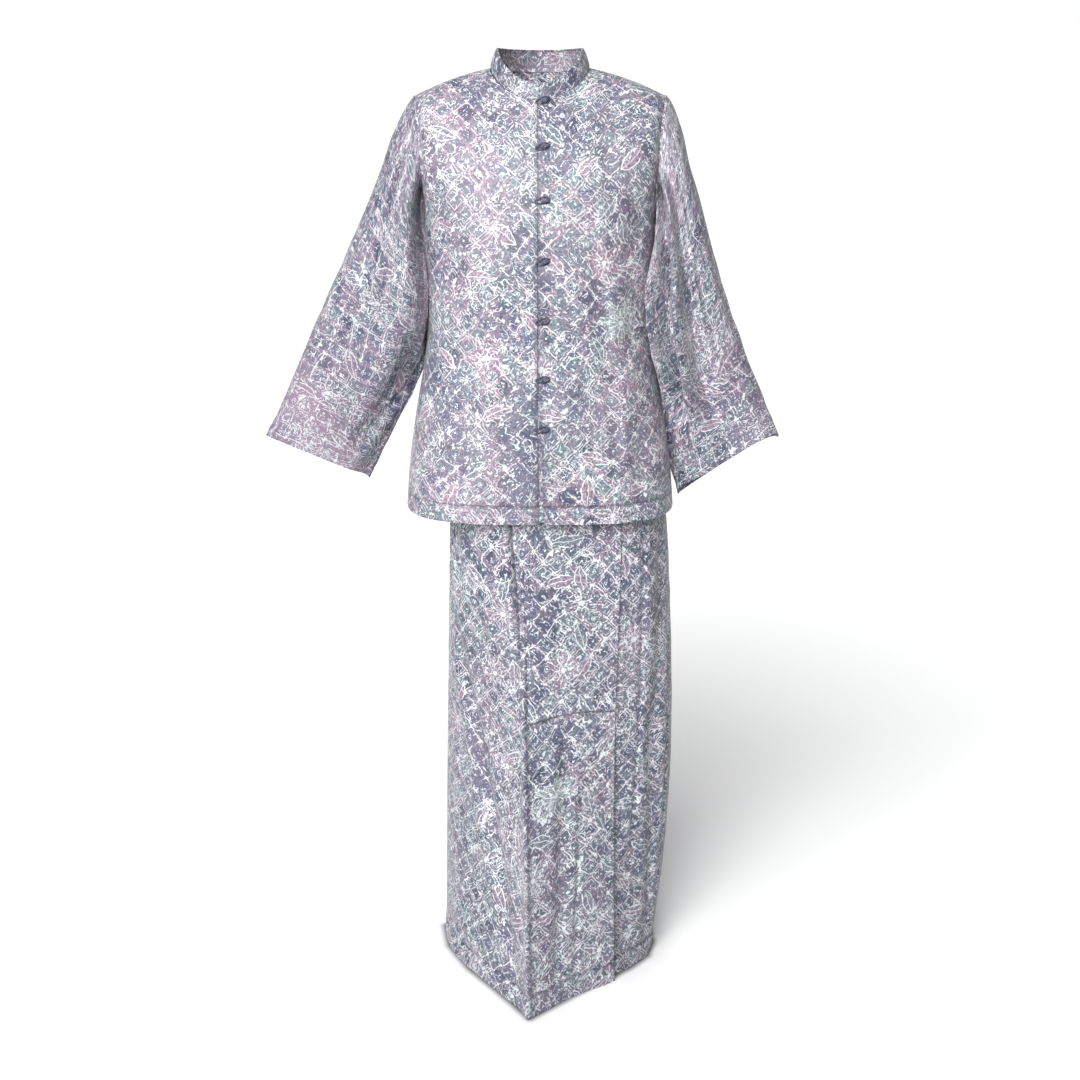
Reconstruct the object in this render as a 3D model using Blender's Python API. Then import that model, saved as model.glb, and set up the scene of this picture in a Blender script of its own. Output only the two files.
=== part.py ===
# Two-piece baju kurung, worn form with no wearer: a stand-collar top with
# loop-and-knot buttons and wide sleeves, over a wrap-front ankle skirt.
# Metres, +Z up, the front faces -Y. Origin: base of the neck, level with the
# highest points of the shoulders, midway between them.
import bpy
import math
import numpy as np
from mathutils import Vector
from mathutils.bvhtree import BVHTree

for old in list(bpy.data.objects):
    bpy.data.objects.remove(old, do_unlink=True)

# Cloth and seam sizes
cloth = 0.0014
seam_half = 0.00015
layer_gap = 0.0004
collar_cloth = 0.0020

# Top: levels
neck_front_z = -0.041
neck_back_z = -0.008
shoulder_tip_z = -0.038
underarm_z = -0.218
top_hem_z = -0.640
neck_half_width = 0.072
shoulder_half_width = 0.181
armhole_front_depth = 0.058
armhole_back_depth = 0.052

# Front opening: where each front ends, measured from the middle
right_front_edge_x = -0.0020
left_front_edge_x = -0.0006
left_front_edge_hem_x = 0.0060
underlap_half_width = 0.013

# Torso section by level: half width, front depth, back depth, squareness
torso_columns = ("z", "half", "front", "back", "square")
torso_rows = (
    (0.010, 0.171, 0.064, 0.058, 2.1),
    (-0.041, 0.171, 0.080, 0.074, 2.1),
    (-0.100, 0.171, 0.106, 0.096, 2.2),
    (-0.170, 0.171, 0.128, 0.108, 2.3),
    (-0.218, 0.170, 0.136, 0.108, 2.3),
    (-0.300, 0.169, 0.140, 0.102, 2.4),
    (-0.380, 0.170, 0.141, 0.100, 2.5),
    (-0.430, 0.176, 0.143, 0.104, 2.6),
    (-0.490, 0.187, 0.146, 0.112, 2.8),
    (-0.570, 0.199, 0.150, 0.122, 3.0),
    (-0.640, 0.205, 0.152, 0.128, 3.2),
)

# Soft folds of the fronts: x, top z, bottom z, half width, depth
front_fold_columns = ("x_top", "z_top", "x_low", "z_low", "half", "depth")
front_folds = (
    (-0.150, -0.150, -0.120, -0.420, 0.016, 0.0040),
    (-0.095, -0.330, -0.125, -0.600, 0.018, 0.0035),
    (-0.050, -0.420, -0.045, -0.640, 0.014, 0.0025),
    (0.135, -0.110, 0.128, -0.400, 0.014, 0.0050),
    (0.150, -0.360, 0.145, -0.640, 0.015, 0.0045),
    (0.070, -0.440, 0.085, -0.640, 0.016, 0.0030),
)
back_folds = (
    (-0.110, -0.120, -0.090, -0.420, 0.018, 0.0040),
    (0.105, -0.140, 0.120, -0.460, 0.018, 0.0040),
    (-0.040, -0.360, -0.055, -0.630, 0.018, 0.0035),
    (0.045, -0.300, 0.060, -0.600, 0.020, 0.0035),
)

# Sleeve rings, from armhole to cuff. Outer and inner edge as x, z for a sleeve
# taken as positive x, middle y, half depth, squareness, lean of the front face.
sleeve_columns = ("v", "xo", "zo", "xi", "zi", "y", "deep", "square", "lap_x", "lap_y", "rise")
sleeve_rows_right = (
    (0.00, 0.1810, -0.038, 0.1700, -0.218, 0.000, 0.055, 2.0, 0.000, 0.000, 0.000),
    (0.12, 0.2010, -0.092, 0.1745, -0.262, -0.003, 0.064, 2.0, 0.014, 0.014, 0.000),
    (0.28, 0.2330, -0.184, 0.1765, -0.330, -0.006, 0.070, 2.1, 0.034, 0.036, 0.000),
    (0.45, 0.2610, -0.280, 0.1795, -0.405, -0.010, 0.068, 2.2, 0.030, 0.036, 0.000),
    (0.62, 0.2920, -0.370, 0.1890, -0.480, -0.014, 0.058, 2.3, 0.016, 0.016, 0.000),
    (0.80, 0.3270, -0.456, 0.2015, -0.556, -0.018, 0.046, 2.4, 0.004, 0.006, 0.008),
    (1.00, 0.3630, -0.540, 0.2240, -0.632, -0.022, 0.037, 2.5, 0.000, 0.000, 0.026),
)
sleeve_rows_left = (
    (0.00, 0.1810, -0.038, 0.1700, -0.218, 0.000, 0.055, 2.0, 0.000, 0.000, 0.000),
    (0.12, 0.2110, -0.094, 0.1745, -0.262, -0.003, 0.063, 2.0, 0.017, 0.017, 0.000),
    (0.28, 0.2520, -0.190, 0.1750, -0.328, -0.006, 0.066, 2.1, 0.033, 0.034, 0.000),
    (0.45, 0.2940, -0.280, 0.1785, -0.390, -0.010, 0.064, 2.2, 0.034, 0.034, 0.000),
    (0.62, 0.3310, -0.358, 0.1900, -0.450, -0.014, 0.056, 2.3, 0.020, 0.018, 0.000),
    (0.80, 0.3720, -0.446, 0.2210, -0.526, -0.018, 0.046, 2.4, 0.002, 0.002, 0.004),
    (1.00, 0.4160, -0.539, 0.2620, -0.605, -0.022, 0.037, 2.5, 0.000, 0.000, 0.012),
)
# Sleeve folds: turn round the ring at each end (0 top edge, 0.25 front,
# 0.5 inner edge, 0.75 back), how far down, half width in turns, depth
sleeve_fold_columns = ("turn_top", "v_top", "turn_low", "v_low", "half", "depth")
sleeve_folds_right = (
    (0.300, 0.04, 0.360, 0.62, 0.030, 0.0110),
    (0.400, 0.22, 0.330, 0.98, 0.028, 0.0100),
    (0.180, 0.10, 0.200, 0.55, 0.035, 0.0045),
    (0.260, 0.55, 0.220, 1.00, 0.035, 0.0040),
    (0.680, 0.05, 0.640, 0.70, 0.035, 0.0080),
    (0.800, 0.25, 0.780, 0.95, 0.035, 0.0050),
)
sleeve_folds_left = (
    (0.320, 0.03, 0.380, 0.48, 0.032, 0.0100),
    (0.215, 0.08, 0.270, 0.55, 0.034, 0.0060),
    (0.390, 0.40, 0.330, 0.92, 0.030, 0.0070),
    (0.150, 0.45, 0.170, 0.95, 0.036, 0.0040),
    (0.660, 0.05, 0.640, 0.66, 0.035, 0.0080),
    (0.780, 0.20, 0.770, 0.90, 0.036, 0.0050),
)

# Stand collar, height along the ring from the front end to the back
collar_front_lean = 0.26
collar_side_lean = 0.36
collar_back_lean = 0.12
collar_front_height = 0.024
collar_side_height = 0.030
collar_back_height = 0.032

# Knot buttons and loops down the front: level of each
button_levels = (-0.0465, -0.103, -0.174, -0.257, -0.341, -0.425, -0.498)
button_length = 0.0150
button_width = 0.0092
button_thick = 0.0070
loop_cord = 0.0019
loop_back = 0.0055
button_x = 0.0065

# Skirt: level, then left side, pressed crease, wrap edge, right side, back
skirt_hem_z = -1.420
skirt_waist_z = -0.440
waistband_height = 0.032
skirt_columns = ("z", "lx", "ly", "cx", "cy", "ex", "ey", "rx", "ry", "bx", "by")
skirt_rows = (
    (-0.400, -0.128, 0.010, -0.036, -0.106, 0.095, -0.094, 0.148, 0.010, 0.012, 0.084),
    (-0.472, -0.131, 0.010, -0.038, -0.114, 0.102, -0.100, 0.158, 0.008, 0.015, 0.094),
    (-0.560, -0.137, 0.010, -0.037, -0.123, 0.112, -0.108, 0.181, 0.004, 0.020, 0.107),
    (-0.655, -0.141, 0.012, -0.036, -0.129, 0.118, -0.112, 0.196, -0.002, 0.026, 0.118),
    (-0.763, -0.144, 0.013, -0.029, -0.143, 0.118, -0.117, 0.204, -0.008, 0.030, 0.120),
    (-0.935, -0.149, 0.014, -0.024, -0.168, 0.114, -0.121, 0.212, -0.014, 0.030, 0.122),
    (-1.106, -0.154, 0.015, -0.021, -0.197, 0.112, -0.126, 0.213, -0.020, 0.028, 0.122),
    (-1.283, -0.158, 0.016, -0.019, -0.227, 0.110, -0.133, 0.203, -0.026, 0.022, 0.122),
    (-1.420, -0.161, 0.016, -0.016, -0.249, 0.109, -0.140, 0.187, -0.031, 0.014, 0.122),
)
skirt_folds = (
    (0.30, -0.820, 0.78, -1.240, 0.060, 0.0060),
    (0.55, -1.060, 0.90, -1.400, 0.050, 0.0050),
    (0.25, -0.480, 0.40, -0.780, 0.060, 0.0030),
    (1.45, -0.980, 1.35, -1.360, 0.070, 0.0040),
    (2.60, -0.660, 2.50, -1.000, 0.080, 0.0040),
    (2.45, -0.980, 2.60, -1.380, 0.080, 0.0050),
    (3.40, -0.560, 3.55, -1.150, 0.090, 0.0050),
    (3.95, -0.700, 4.05, -1.380, 0.080, 0.0060),
    (4.55, -0.620, 4.40, -1.260, 0.090, 0.0050),
)
wrap_edge_lift_hem = 0.0120
wrap_edge_lift_top = 0.0004


def smooth_columns(columns, rows, level):
    # Every named column at a level, by a smooth curve through the rows
    data = np.array(rows, dtype=float)
    keys = data[:, 0]
    if keys[0] > keys[-1]:
        data = data[::-1]
        keys = data[:, 0]
    level = min(max(level, keys[0]), keys[-1])
    i = int(min(max(np.searchsorted(keys, level) - 1, 0), len(keys) - 2))
    h = keys[i + 1] - keys[i]
    f = (level - keys[i]) / h

    def slope(k):
        a = max(k - 1, 0)
        b = min(k + 1, len(keys) - 1)
        return (data[b] - data[a]) / (keys[b] - keys[a])

    p0, p1 = data[i], data[i + 1]
    m0, m1 = slope(i) * h, slope(i + 1) * h
    f2, f3 = f * f, f * f * f
    out = (2 * f3 - 3 * f2 + 1) * p0 + (f3 - 2 * f2 + f) * m0 + (3 * f2 - 2 * f3) * p1 + (f3 - f2) * m1
    return {name: float(out[k]) for k, name in enumerate(columns)}


def smooth_step(value):
    value = min(max(value, 0.0), 1.0)
    return value * value * (3 - 2 * value)


def trough(columns, folds, across, along, wrap=0.0):
    # Depth of the folds at a place, each fold a soft valley fading at its ends
    total = 0.0
    for fold in folds:
        a0, l0, a1, l1, half, depth = fold
        f = (along - l0) / (l1 - l0)
        if f <= -0.15 or f >= 1.15:
            continue
        middle = a0 + (a1 - a0) * min(max(f, 0.0), 1.0) + 0.25 * half * math.sin(3.1 * f)
        off = across - middle
        if wrap:
            off = (off + wrap / 2) % wrap - wrap / 2
        ends = smooth_step((f + 0.15) / 0.35) * smooth_step((1.15 - f) / 0.35)
        q = off / half
        total += depth * ends * math.exp(-q * q)
        total -= 0.35 * depth * ends * math.exp(-((abs(q) - 1.9) ** 2) * 1.6)
    return total


def unit(v):
    n = float(np.linalg.norm(v))
    return v / n if n > 1e-12 else v


# Armhole: a closed curve, front half and back half, at positive x
armhole_mid_z = (shoulder_tip_z + underarm_z) / 2
armhole_half = (shoulder_tip_z - underarm_z) / 2


def armhole_at(z, front):
    f = (z - armhole_mid_z) / armhole_half
    f = min(max(f, -1.0), 1.0)
    bow = math.sqrt(max(0.0, 1.0 - f * f))
    deep = -armhole_front_depth if front else armhole_back_depth
    top = (f + 1) / 2
    x = 0.1700 + (shoulder_half_width - 0.1700) * top ** 1.6 - 0.006 * bow
    return x, deep * bow


def neck_at(turn, front):
    # Neckline from the middle (0) to the shoulder (1)
    a = turn * math.pi / 2
    deep = -0.076 if front else 0.066
    low = neck_front_z if front else neck_back_z
    x = neck_half_width * math.sin(a)
    y = deep * math.cos(a)
    z = low * math.cos(a) ** 1.5
    return np.array((x, y, z))


neck_share = 0.40
underarm_share = 0.37


def torso_point(side, s, t, front, edge_x=0.0):
    # s runs from the middle to the side, t from the top edge to the hem
    if s <= neck_share:
        top = neck_at(s / neck_share, front)
    else:
        f = (s - neck_share) / (1 - neck_share)
        tip = np.array((shoulder_half_width, 0.0, shoulder_tip_z))
        top = neck_at(1.0, front) * (1 - f) + tip * f
        top[2] += 0.004 * math.sin(math.pi * f)
    if t < underarm_share:
        z = top[2] + (underarm_z - top[2]) * (t / underarm_share)
    else:
        z = underarm_z + (top_hem_z - underarm_z) * (t - underarm_share) / (1 - underarm_share)
    row = smooth_columns(torso_columns, torso_rows, z)
    if t < underarm_share:
        level = shoulder_tip_z + (underarm_z - shoulder_tip_z) * (t / underarm_share)
        end_x, end_y = armhole_at(level, front)
    else:
        level = z
        end_x, end_y = row["half"], 0.0
    if level < armhole_mid_z:
        # Away from the seam the cloth eases out gradually below the armhole
        ease = min((armhole_mid_z - level) / 0.135, 1.0)
        arm_deep = -armhole_front_depth if front else armhole_back_depth
        at_seam = smooth_step((s - 0.80) / 0.20)
        end_y = end_y * at_seam + arm_deep * math.cos(math.pi / 2 * ease) ** 2 * (1 - at_seam)
    deep = -row["front"] if front else row["back"]
    phi = s * math.pi / 2
    power = 2.0 / row["square"]
    across = math.sin(phi) ** power if s > 0 else 0.0
    ahead = math.cos(phi) ** power if s < 1 else 0.0
    x = end_x * across
    y = end_y + (deep - end_y) * ahead
    drop = max(top[2] - z, 0.0)
    if s <= neck_share:
        n = s / neck_share
        tall = 0.060 + 0.060 * n
        power_y = 0.95 - 0.42 * smooth_step(n)
    else:
        tall = 0.120 - 0.030 * smooth_step((s - neck_share) / (1 - neck_share))
        power_y = 0.53
    tau = min(drop / tall, 1.0)
    rise = (1 - (1 - tau) ** 2) ** power_y
    shift = (1 - (1 - tau) ** 2) ** 0.6
    near_side = smooth_step((s - neck_share) / (1 - neck_share))
    x = top[0] + (x - top[0]) * shift + (end_x - shoulder_half_width) * (1 - shift) * near_side
    y = top[1] + (y - top[1]) * rise + end_y * (1 - rise) * near_side
    folds = front_folds if front else back_folds
    dent = trough(front_fold_columns, folds, side * x, z)
    near_edge = smooth_step((1 - s) / 0.12) * smooth_step((drop - 0.02) / 0.06)
    y += (1 if front else -1) * dent * near_edge * ahead
    if edge_x:
        # Slide the middle columns to the edge of this front
        x += edge_x * max(0.0, 1 - s / neck_share)
    return np.array((side * x, y, z))


def inset_edges(grid, closed, sides, amount=seam_half):
    # Draws the named edges of a grid of points back from the seam line
    out = grid.copy()
    if "u0" in sides:
        for j in range(grid.shape[0]):
            out[j, 0] += unit(grid[j, 1] - grid[j, 0]) * amount
    if "u1" in sides:
        for j in range(grid.shape[0]):
            out[j, -1] += unit(grid[j, -2] - grid[j, -1]) * amount
    if "v0" in sides:
        for i in range(grid.shape[1]):
            out[0, i] += unit(grid[1, i] - grid[0, i]) * amount
    if "v1" in sides:
        for i in range(grid.shape[1]):
            out[-1, i] += unit(grid[-2, i] - grid[-1, i]) * amount
    return out


materials = {}


def material(name, colour, rough):
    if name not in materials:
        made = bpy.data.materials.new(name)
        made.use_nodes = True
        shader = made.node_tree.nodes["Principled BSDF"]
        shader.inputs["Base Color"].default_value = (*colour, 1.0)
        shader.inputs["Roughness"].default_value = rough
        materials[name] = made
    return materials[name]


garment = bpy.data.collections.new("baju_kurung")
bpy.context.scene.collection.children.link(garment)


def add_mesh(name, points, faces, colour, rough=0.55):
    mesh = bpy.data.meshes.new(name)
    mesh.from_pydata([tuple(float(c) for c in p) for p in points], [], faces)
    mesh.update()
    piece = bpy.data.objects.new(name, mesh)
    garment.objects.link(piece)
    piece.data.materials.append(material(name + "_cloth", colour, rough))
    return piece


def wall(name, outer, inner, closed, colour, flip=False):
    # A closed body between two grids of points that match one to one
    rows, cols = outer.shape[:2]
    points = list(outer.reshape(-1, 3)) + list(inner.reshape(-1, 3))
    shift = rows * cols
    faces = []
    span = cols if closed else cols - 1

    def at(j, i):
        return j * cols + (i % cols)

    for j in range(rows - 1):
        for i in range(span):
            a, b, c, d = at(j, i), at(j, i + 1), at(j + 1, i + 1), at(j + 1, i)
            faces.append((a, d, c, b))
            faces.append((a + shift, b + shift, c + shift, d + shift))

    def rim_cell(a, b):
        # Split on the higher outer point, so facing rims split alike
        if points[a][2] >= points[b][2]:
            faces.append((a, b, b + shift))
            faces.append((a, b + shift, a + shift))
        else:
            faces.append((a, b, a + shift))
            faces.append((b, b + shift, a + shift))

    for i in range(span):
        rim_cell(at(0, i), at(0, i + 1))
        rim_cell(at(rows - 1, i + 1), at(rows - 1, i))
    if not closed:
        for j in range(rows - 1):
            rim_cell(at(j + 1, 0), at(j, 0))
            rim_cell(at(j, cols - 1), at(j + 1, cols - 1))
    # Turn every face round if the body came out inside out
    volume = 0.0
    pts = np.array(points)
    middle = pts.mean(axis=0)
    for face in faces:
        p = pts[list(face)] - middle
        for k in range(1, len(face) - 1):
            volume += float(np.dot(p[0], np.cross(p[k], p[k + 1])))
    if volume < 0:
        faces = [tuple(reversed(face)) for face in faces]
    return add_mesh(name, points, faces, colour)


front_steps = [0, 0.07, 0.14, 0.205, 0.265, 0.32, 0.365, 0.40, 0.47, 0.54, 0.61, 0.68, 0.75, 0.82, 0.88, 0.94, 1.0]
armhole_rows = 11
row_steps = [underarm_share * (1 - math.cos(k * math.pi / armhole_rows)) / 2 for k in range(armhole_rows + 1)]
row_steps = row_steps + [0.43, 0.50, 0.57, 0.64, 0.72, 0.80, 0.90, 1.0]
lilac = (0.50, 0.49, 0.58)
slate = (0.36, 0.38, 0.47)


def grid_normals(grid, closed, outward):
    # The normal at every point, averaged from the cells round it
    rows, cols = grid.shape[:2]
    total = np.zeros_like(grid)
    span = cols if closed else cols - 1
    for j in range(rows - 1):
        for i in range(span):
            k = (i + 1) % cols
            n = unit(np.cross(grid[j + 1, k] - grid[j, i], grid[j + 1, i] - grid[j, k]))
            for a, b in ((j, i), (j, k), (j + 1, i), (j + 1, k)):
                total[a, b] += n
    for j in range(rows):
        for i in range(cols):
            n = unit(total[j, i])
            if np.dot(n, outward(grid[j, i])) < 0:
                n = -n
            total[j, i] = n
    return total


def body_outward(p):
    return np.array((p[0], p[1], 0.04 + 0.5 * max(p[2] + 0.10, 0.0)))


def body_panel(name, columns, front, colour):
    # columns: side and s for every column, and the edge shift of a front
    rows, cols = len(row_steps), len(columns)
    grid = np.zeros((rows, cols, 3))
    for j, t in enumerate(row_steps):
        fade = smooth_step((t - 0.62) / 0.38)
        for i, (side, s, edge_top, edge_low) in enumerate(columns):
            grid[j, i] = torso_point(side, s, t, front, edge_top + (edge_low - edge_top) * fade)
    normal = grid_normals(grid, False, body_outward)
    move = np.zeros_like(grid)
    aside = -seam_half if front else seam_half
    slope = unit(np.array((neck_half_width - shoulder_half_width, 0.0, -shoulder_tip_z)))
    for i, (side, s, edge_top, edge_low) in enumerate(columns):
        if s > neck_share - 1e-9:
            normal[0, i] = unit(np.array((side * slope[2], 0.0, -slope[0])))
            move[0, i, 1] = aside
        if s < neck_share + 1e-9:
            a = grid[0, max(i - 1, 0)]
            b = grid[0, min(i + 1, cols - 1)]
            if abs(s - neck_share) < 1e-9:
                inner_side = i - 1 if abs(columns[max(i - 1, 0)][1]) < s - 1e-9 else i + 1
                a, b = grid[0, i], grid[0, inner_side]
            into = np.cross(normal[0, i], unit(b - a))
            centre = np.array((0.0, 0.0, 0.02)) - grid[0, i]
            if np.dot(into, centre) < 0:
                into = -into
            move[0, i] += -unit(into) * seam_half
        if s > 1 - 1e-9:
            near = i - 1 if columns[i - 1][1] < s else i + 1
            near = min(near, cols - 1)
            for j, t in enumerate(row_steps):
                if t > underarm_share - 1e-9:
                    a = grid[max(j - 1, 0), i] if t > underarm_share + 1e-9 else grid[j, i]
                    b = grid[min(j + 1, rows - 1), i]
                    run = unit(b - a)
                    n = np.array((float(side), 0.0, 0.0))
                    normal[j, i] = unit(n - run * np.dot(n, run))
                    move[j, i, 1] += aside
                else:
                    move[j, i] += unit(grid[j, near] - grid[j, i]) * seam_half
    outer = grid + move
    inner = grid - normal * cloth + move
    wall(name, outer, inner, False, colour)
    return grid, normal


# The wearer's right front is at negative x and its edge lies over the middle
right_columns = [(-1, s, -right_front_edge_x, -right_front_edge_x) for s in front_steps]
left_columns = [(1, s, left_front_edge_x, left_front_edge_hem_x) for s in front_steps]
back_columns = [(-1, s, 0.0, 0.0) for s in reversed(front_steps)] + [(1, s, 0.0, 0.0) for s in front_steps[1:]]
right_grid, right_normal = body_panel("front_right", right_columns, True, lilac)
left_grid, left_normal = body_panel("front_left", left_columns, True, lilac)
back_grid, back_normal = body_panel("back", back_columns, False, lilac)


# Underlap: a narrow strip sewn behind the edge of the left front
def strip_surface(u, v):
    x = -underlap_half_width + 2 * underlap_half_width * u + 0.002
    p = torso_point(1, 0.0, 0.012 + v * 0.984, True)
    side = torso_point(1, 0.07, 0.012 + v * 0.984, True)
    bend = (side[1] - p[1]) * (abs(x) / max(abs(side[0]), 1e-3)) ** 2
    return np.array((x, p[1] + bend, p[2]))


strip_u = [0, 0.25, 0.5, 0.75, 1.0]
strip_outer = np.zeros((len(row_steps), len(strip_u), 3))
strip_inner = np.zeros((len(row_steps), len(strip_u), 3))
for j, v in enumerate(row_steps):
    for i, u in enumerate(strip_u):
        strip_outer[j, i] = strip_surface(u, v)
strip_normal = grid_normals(strip_outer, False, lambda p: np.array((0.0, -1.0, 0.2)))
strip_inner = strip_outer - strip_normal * (2 * cloth + 0.0012)
strip_outer = strip_outer - strip_normal * (cloth + 0.0012)
wall("front_underlap", strip_outer, strip_inner, False, slate)


# Sleeves: rings from the armhole out to the open cuff
def sleeve_point(side, rows, folds, turn, v):
    turn = turn % 1.0
    row = smooth_columns(sleeve_columns, rows, v)
    outer_edge = np.array((row["xo"], 0.0, row["zo"]))
    inner_edge = np.array((row["xi"], 0.0, row["zi"]))
    centre = (outer_edge + inner_edge) / 2
    reach = outer_edge - inner_edge
    half = float(np.linalg.norm(reach)) / 2
    along = reach / (2 * half)
    a = turn * 2 * math.pi
    c, s = math.cos(a), math.sin(a)
    power = 2.0 / row["square"]
    cc = math.copysign(abs(c) ** power, c)
    ss = math.copysign(abs(s) ** power, s)
    p = centre + along * (half * cc)
    p[1] = row["y"] - row["deep"] * ss
    # The front face hangs over towards the body
    share = math.exp(-((turn - 0.36) / 0.075) ** 2)
    p[0] -= row["lap_x"] * share
    p[1] -= row["lap_y"] * share
    # The front of the cuff arches up between its ends
    p[2] += row["rise"] * max(0.0, math.sin(a)) ** 0.8
    # The ring at the armhole is the seam line of the body itself
    if v < 0.12:
        front = turn <= 0.5
        z = armhole_mid_z + armhole_half * c
        x, y = armhole_at(z, front)
        ring = np.array((x, y, z))
        fade = v / 0.12
        p = ring * (1 - fade) + p * fade
    dent = trough(sleeve_fold_columns, folds, turn, v, 1.0)
    near = smooth_step((v - 0.01) / 0.08)
    p[0] += 2 * seam_half + 0.0012 * min(v / 0.07, 1.0)
    inward = unit(np.array((centre[0], row["y"], centre[2])) - p)
    p = p + inward * dent * near
    p[0] *= side
    return p


def sleeve_wall(name, side, rows, folds, body_edge):
    count = 2 * armhole_rows
    turns = [k / count for k in range(count)]
    vs = [0.0, 0.03, 0.07, 0.12, 0.18, 0.25, 0.33, 0.41, 0.50, 0.59, 0.68, 0.77, 0.86, 0.93, 1.0]
    outer = np.zeros((len(vs), count, 3))
    centres = []
    for j, v in enumerate(vs):
        for i, turn in enumerate(turns):
            outer[j, i] = sleeve_point(side, rows, folds, turn, v)
        centres.append(outer[j].mean(axis=0))

    def outward(p):
        near = min(centres, key=lambda c: float(np.linalg.norm(p - c)))
        return p - near

    normal = grid_normals(outer, True, outward)
    for i in range(count):
        if side * normal[0, i, 0] > side * body_edge[i][0]:
            normal[0, i] = body_edge[i]
    inner = outer - normal * cloth
    wall(name, outer, inner, True, lilac)
    return outer, inner


def armhole_normals(front_normal, rear_normal, rear_column):
    down = [front_normal[j, -1] for j in range(armhole_rows + 1)]
    up = [rear_normal[j, rear_column] for j in range(armhole_rows - 1, 0, -1)]
    return down + up


# Picture right is the wearer's left sleeve
left_edge = armhole_normals(left_normal, back_normal, -1)
right_edge = armhole_normals(right_normal, back_normal, 0)
sleeve_wall("sleeve_left", 1, sleeve_rows_right, sleeve_folds_right, left_edge)
sleeve_wall("sleeve_right", -1, sleeve_rows_left, sleeve_folds_left, right_edge)


# Stand collar: starts on the neckline rim and rises, open at the front
neck_count = sum(1 for s in front_steps if s <= neck_share + 1e-9)
middle = len(front_steps) - 1
rim = []
for i in range(neck_count):
    rim.append((left_grid[0, i], left_normal[0, i], True))
for i in range(neck_count - 2, -1, -1):
    rim.append((back_grid[0, middle + i], back_normal[0, middle + i], False))
for i in range(1, neck_count):
    rim.append((back_grid[0, middle - i], back_normal[0, middle - i], False))
for i in range(neck_count - 2, -1, -1):
    rim.append((right_grid[0, i], right_normal[0, i], True))
collar_rises = [0.0, 0.09, 0.5, 1.0]
collar_outer = np.zeros((len(collar_rises), len(rim), 3))
collar_inner = np.zeros((len(collar_rises), len(rim), 3))
run_length = 0.0
spans = [0.0]
for i in range(1, len(rim)):
    run_length += float(np.linalg.norm(rim[i][0] - rim[i - 1][0]))
    spans.append(run_length)
for i, (p, n, front) in enumerate(rim):
    share = min(spans[i], run_length - spans[i]) / run_length * 2
    if share < 0.5:
        tall = collar_front_height + (collar_side_height - collar_front_height) * smooth_step(share / 0.5)
        lean = collar_front_lean + (collar_side_lean - collar_front_lean) * smooth_step(share / 0.5)
    else:
        tall = collar_side_height + (collar_back_height - collar_side_height) * smooth_step((share - 0.5) / 0.5)
        lean = collar_side_lean + (collar_back_lean - collar_side_lean) * smooth_step((share - 0.5) / 0.5)
    radial = unit(np.array((p[0] / neck_half_width ** 2, p[1] / 0.072 ** 2, 0.0)))
    up = unit(np.array((0.0, 0.0, 1.0)) - radial * lean)
    a = rim[max(i - 1, 0)][0]
    b = rim[min(i + 1, len(rim) - 1)][0]
    into = np.cross(n, unit(b - a))
    if np.dot(into, -radial) < 0:
        into = -into
    base = p + unit(into) * seam_half
    for j, rise in enumerate(collar_rises):
        if j == 0:
            collar_outer[j, i] = base
            collar_inner[j, i] = base - n * cloth
        else:
            spot = base + up * (tall * rise)
            collar_outer[j, i] = spot
            collar_inner[j, i] = spot - unit(radial + up * lean) * collar_cloth
wall("collar", collar_outer, collar_inner, False, slate)


# Knot buttons and their loops, seated on the fronts themselves
front_points = []
front_cells = []
for name in ("front_left", "front_right"):
    made = bpy.data.objects[name].data
    shift = len(front_points)
    front_points += [v.co.copy() for v in made.vertices]
    front_cells += [tuple(k + shift for k in p.vertices) for p in made.polygons]
front_tree = BVHTree.FromPolygons(front_points, front_cells)


def front_y(x, z):
    hit = front_tree.ray_cast(Vector((x, -1.0, z)), Vector((0.0, 1.0, 0.0)))
    return hit[0].y if hit[0] is not None and hit[0].y < 0 else None


def front_place(x, z):
    # The foremost point under a knot, and the slope of the front there
    high = front_y(x, z + 0.012)
    low = front_y(x, z - 0.012)
    high = low if high is None else high
    down = unit(np.array((0.0, low - high, -0.024)))
    n = unit(np.array((0.0, down[2], -down[1])))
    if n[1] > 0:
        n = -n
    centre_y = front_y(x, z)
    ahead = 0.0
    for i in range(-2, 3):
        for j in range(-1, 2):
            dz = j * button_width / 4
            y = front_y(x + i * button_length / 5, z + dz)
            if y is not None:
                plane = centre_y + (low - high) * (-dz / 0.024)
                ahead = max(ahead, (plane - y) * abs(n[1]))
    return np.array((x, centre_y, z)) + n * ahead, n, down


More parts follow.
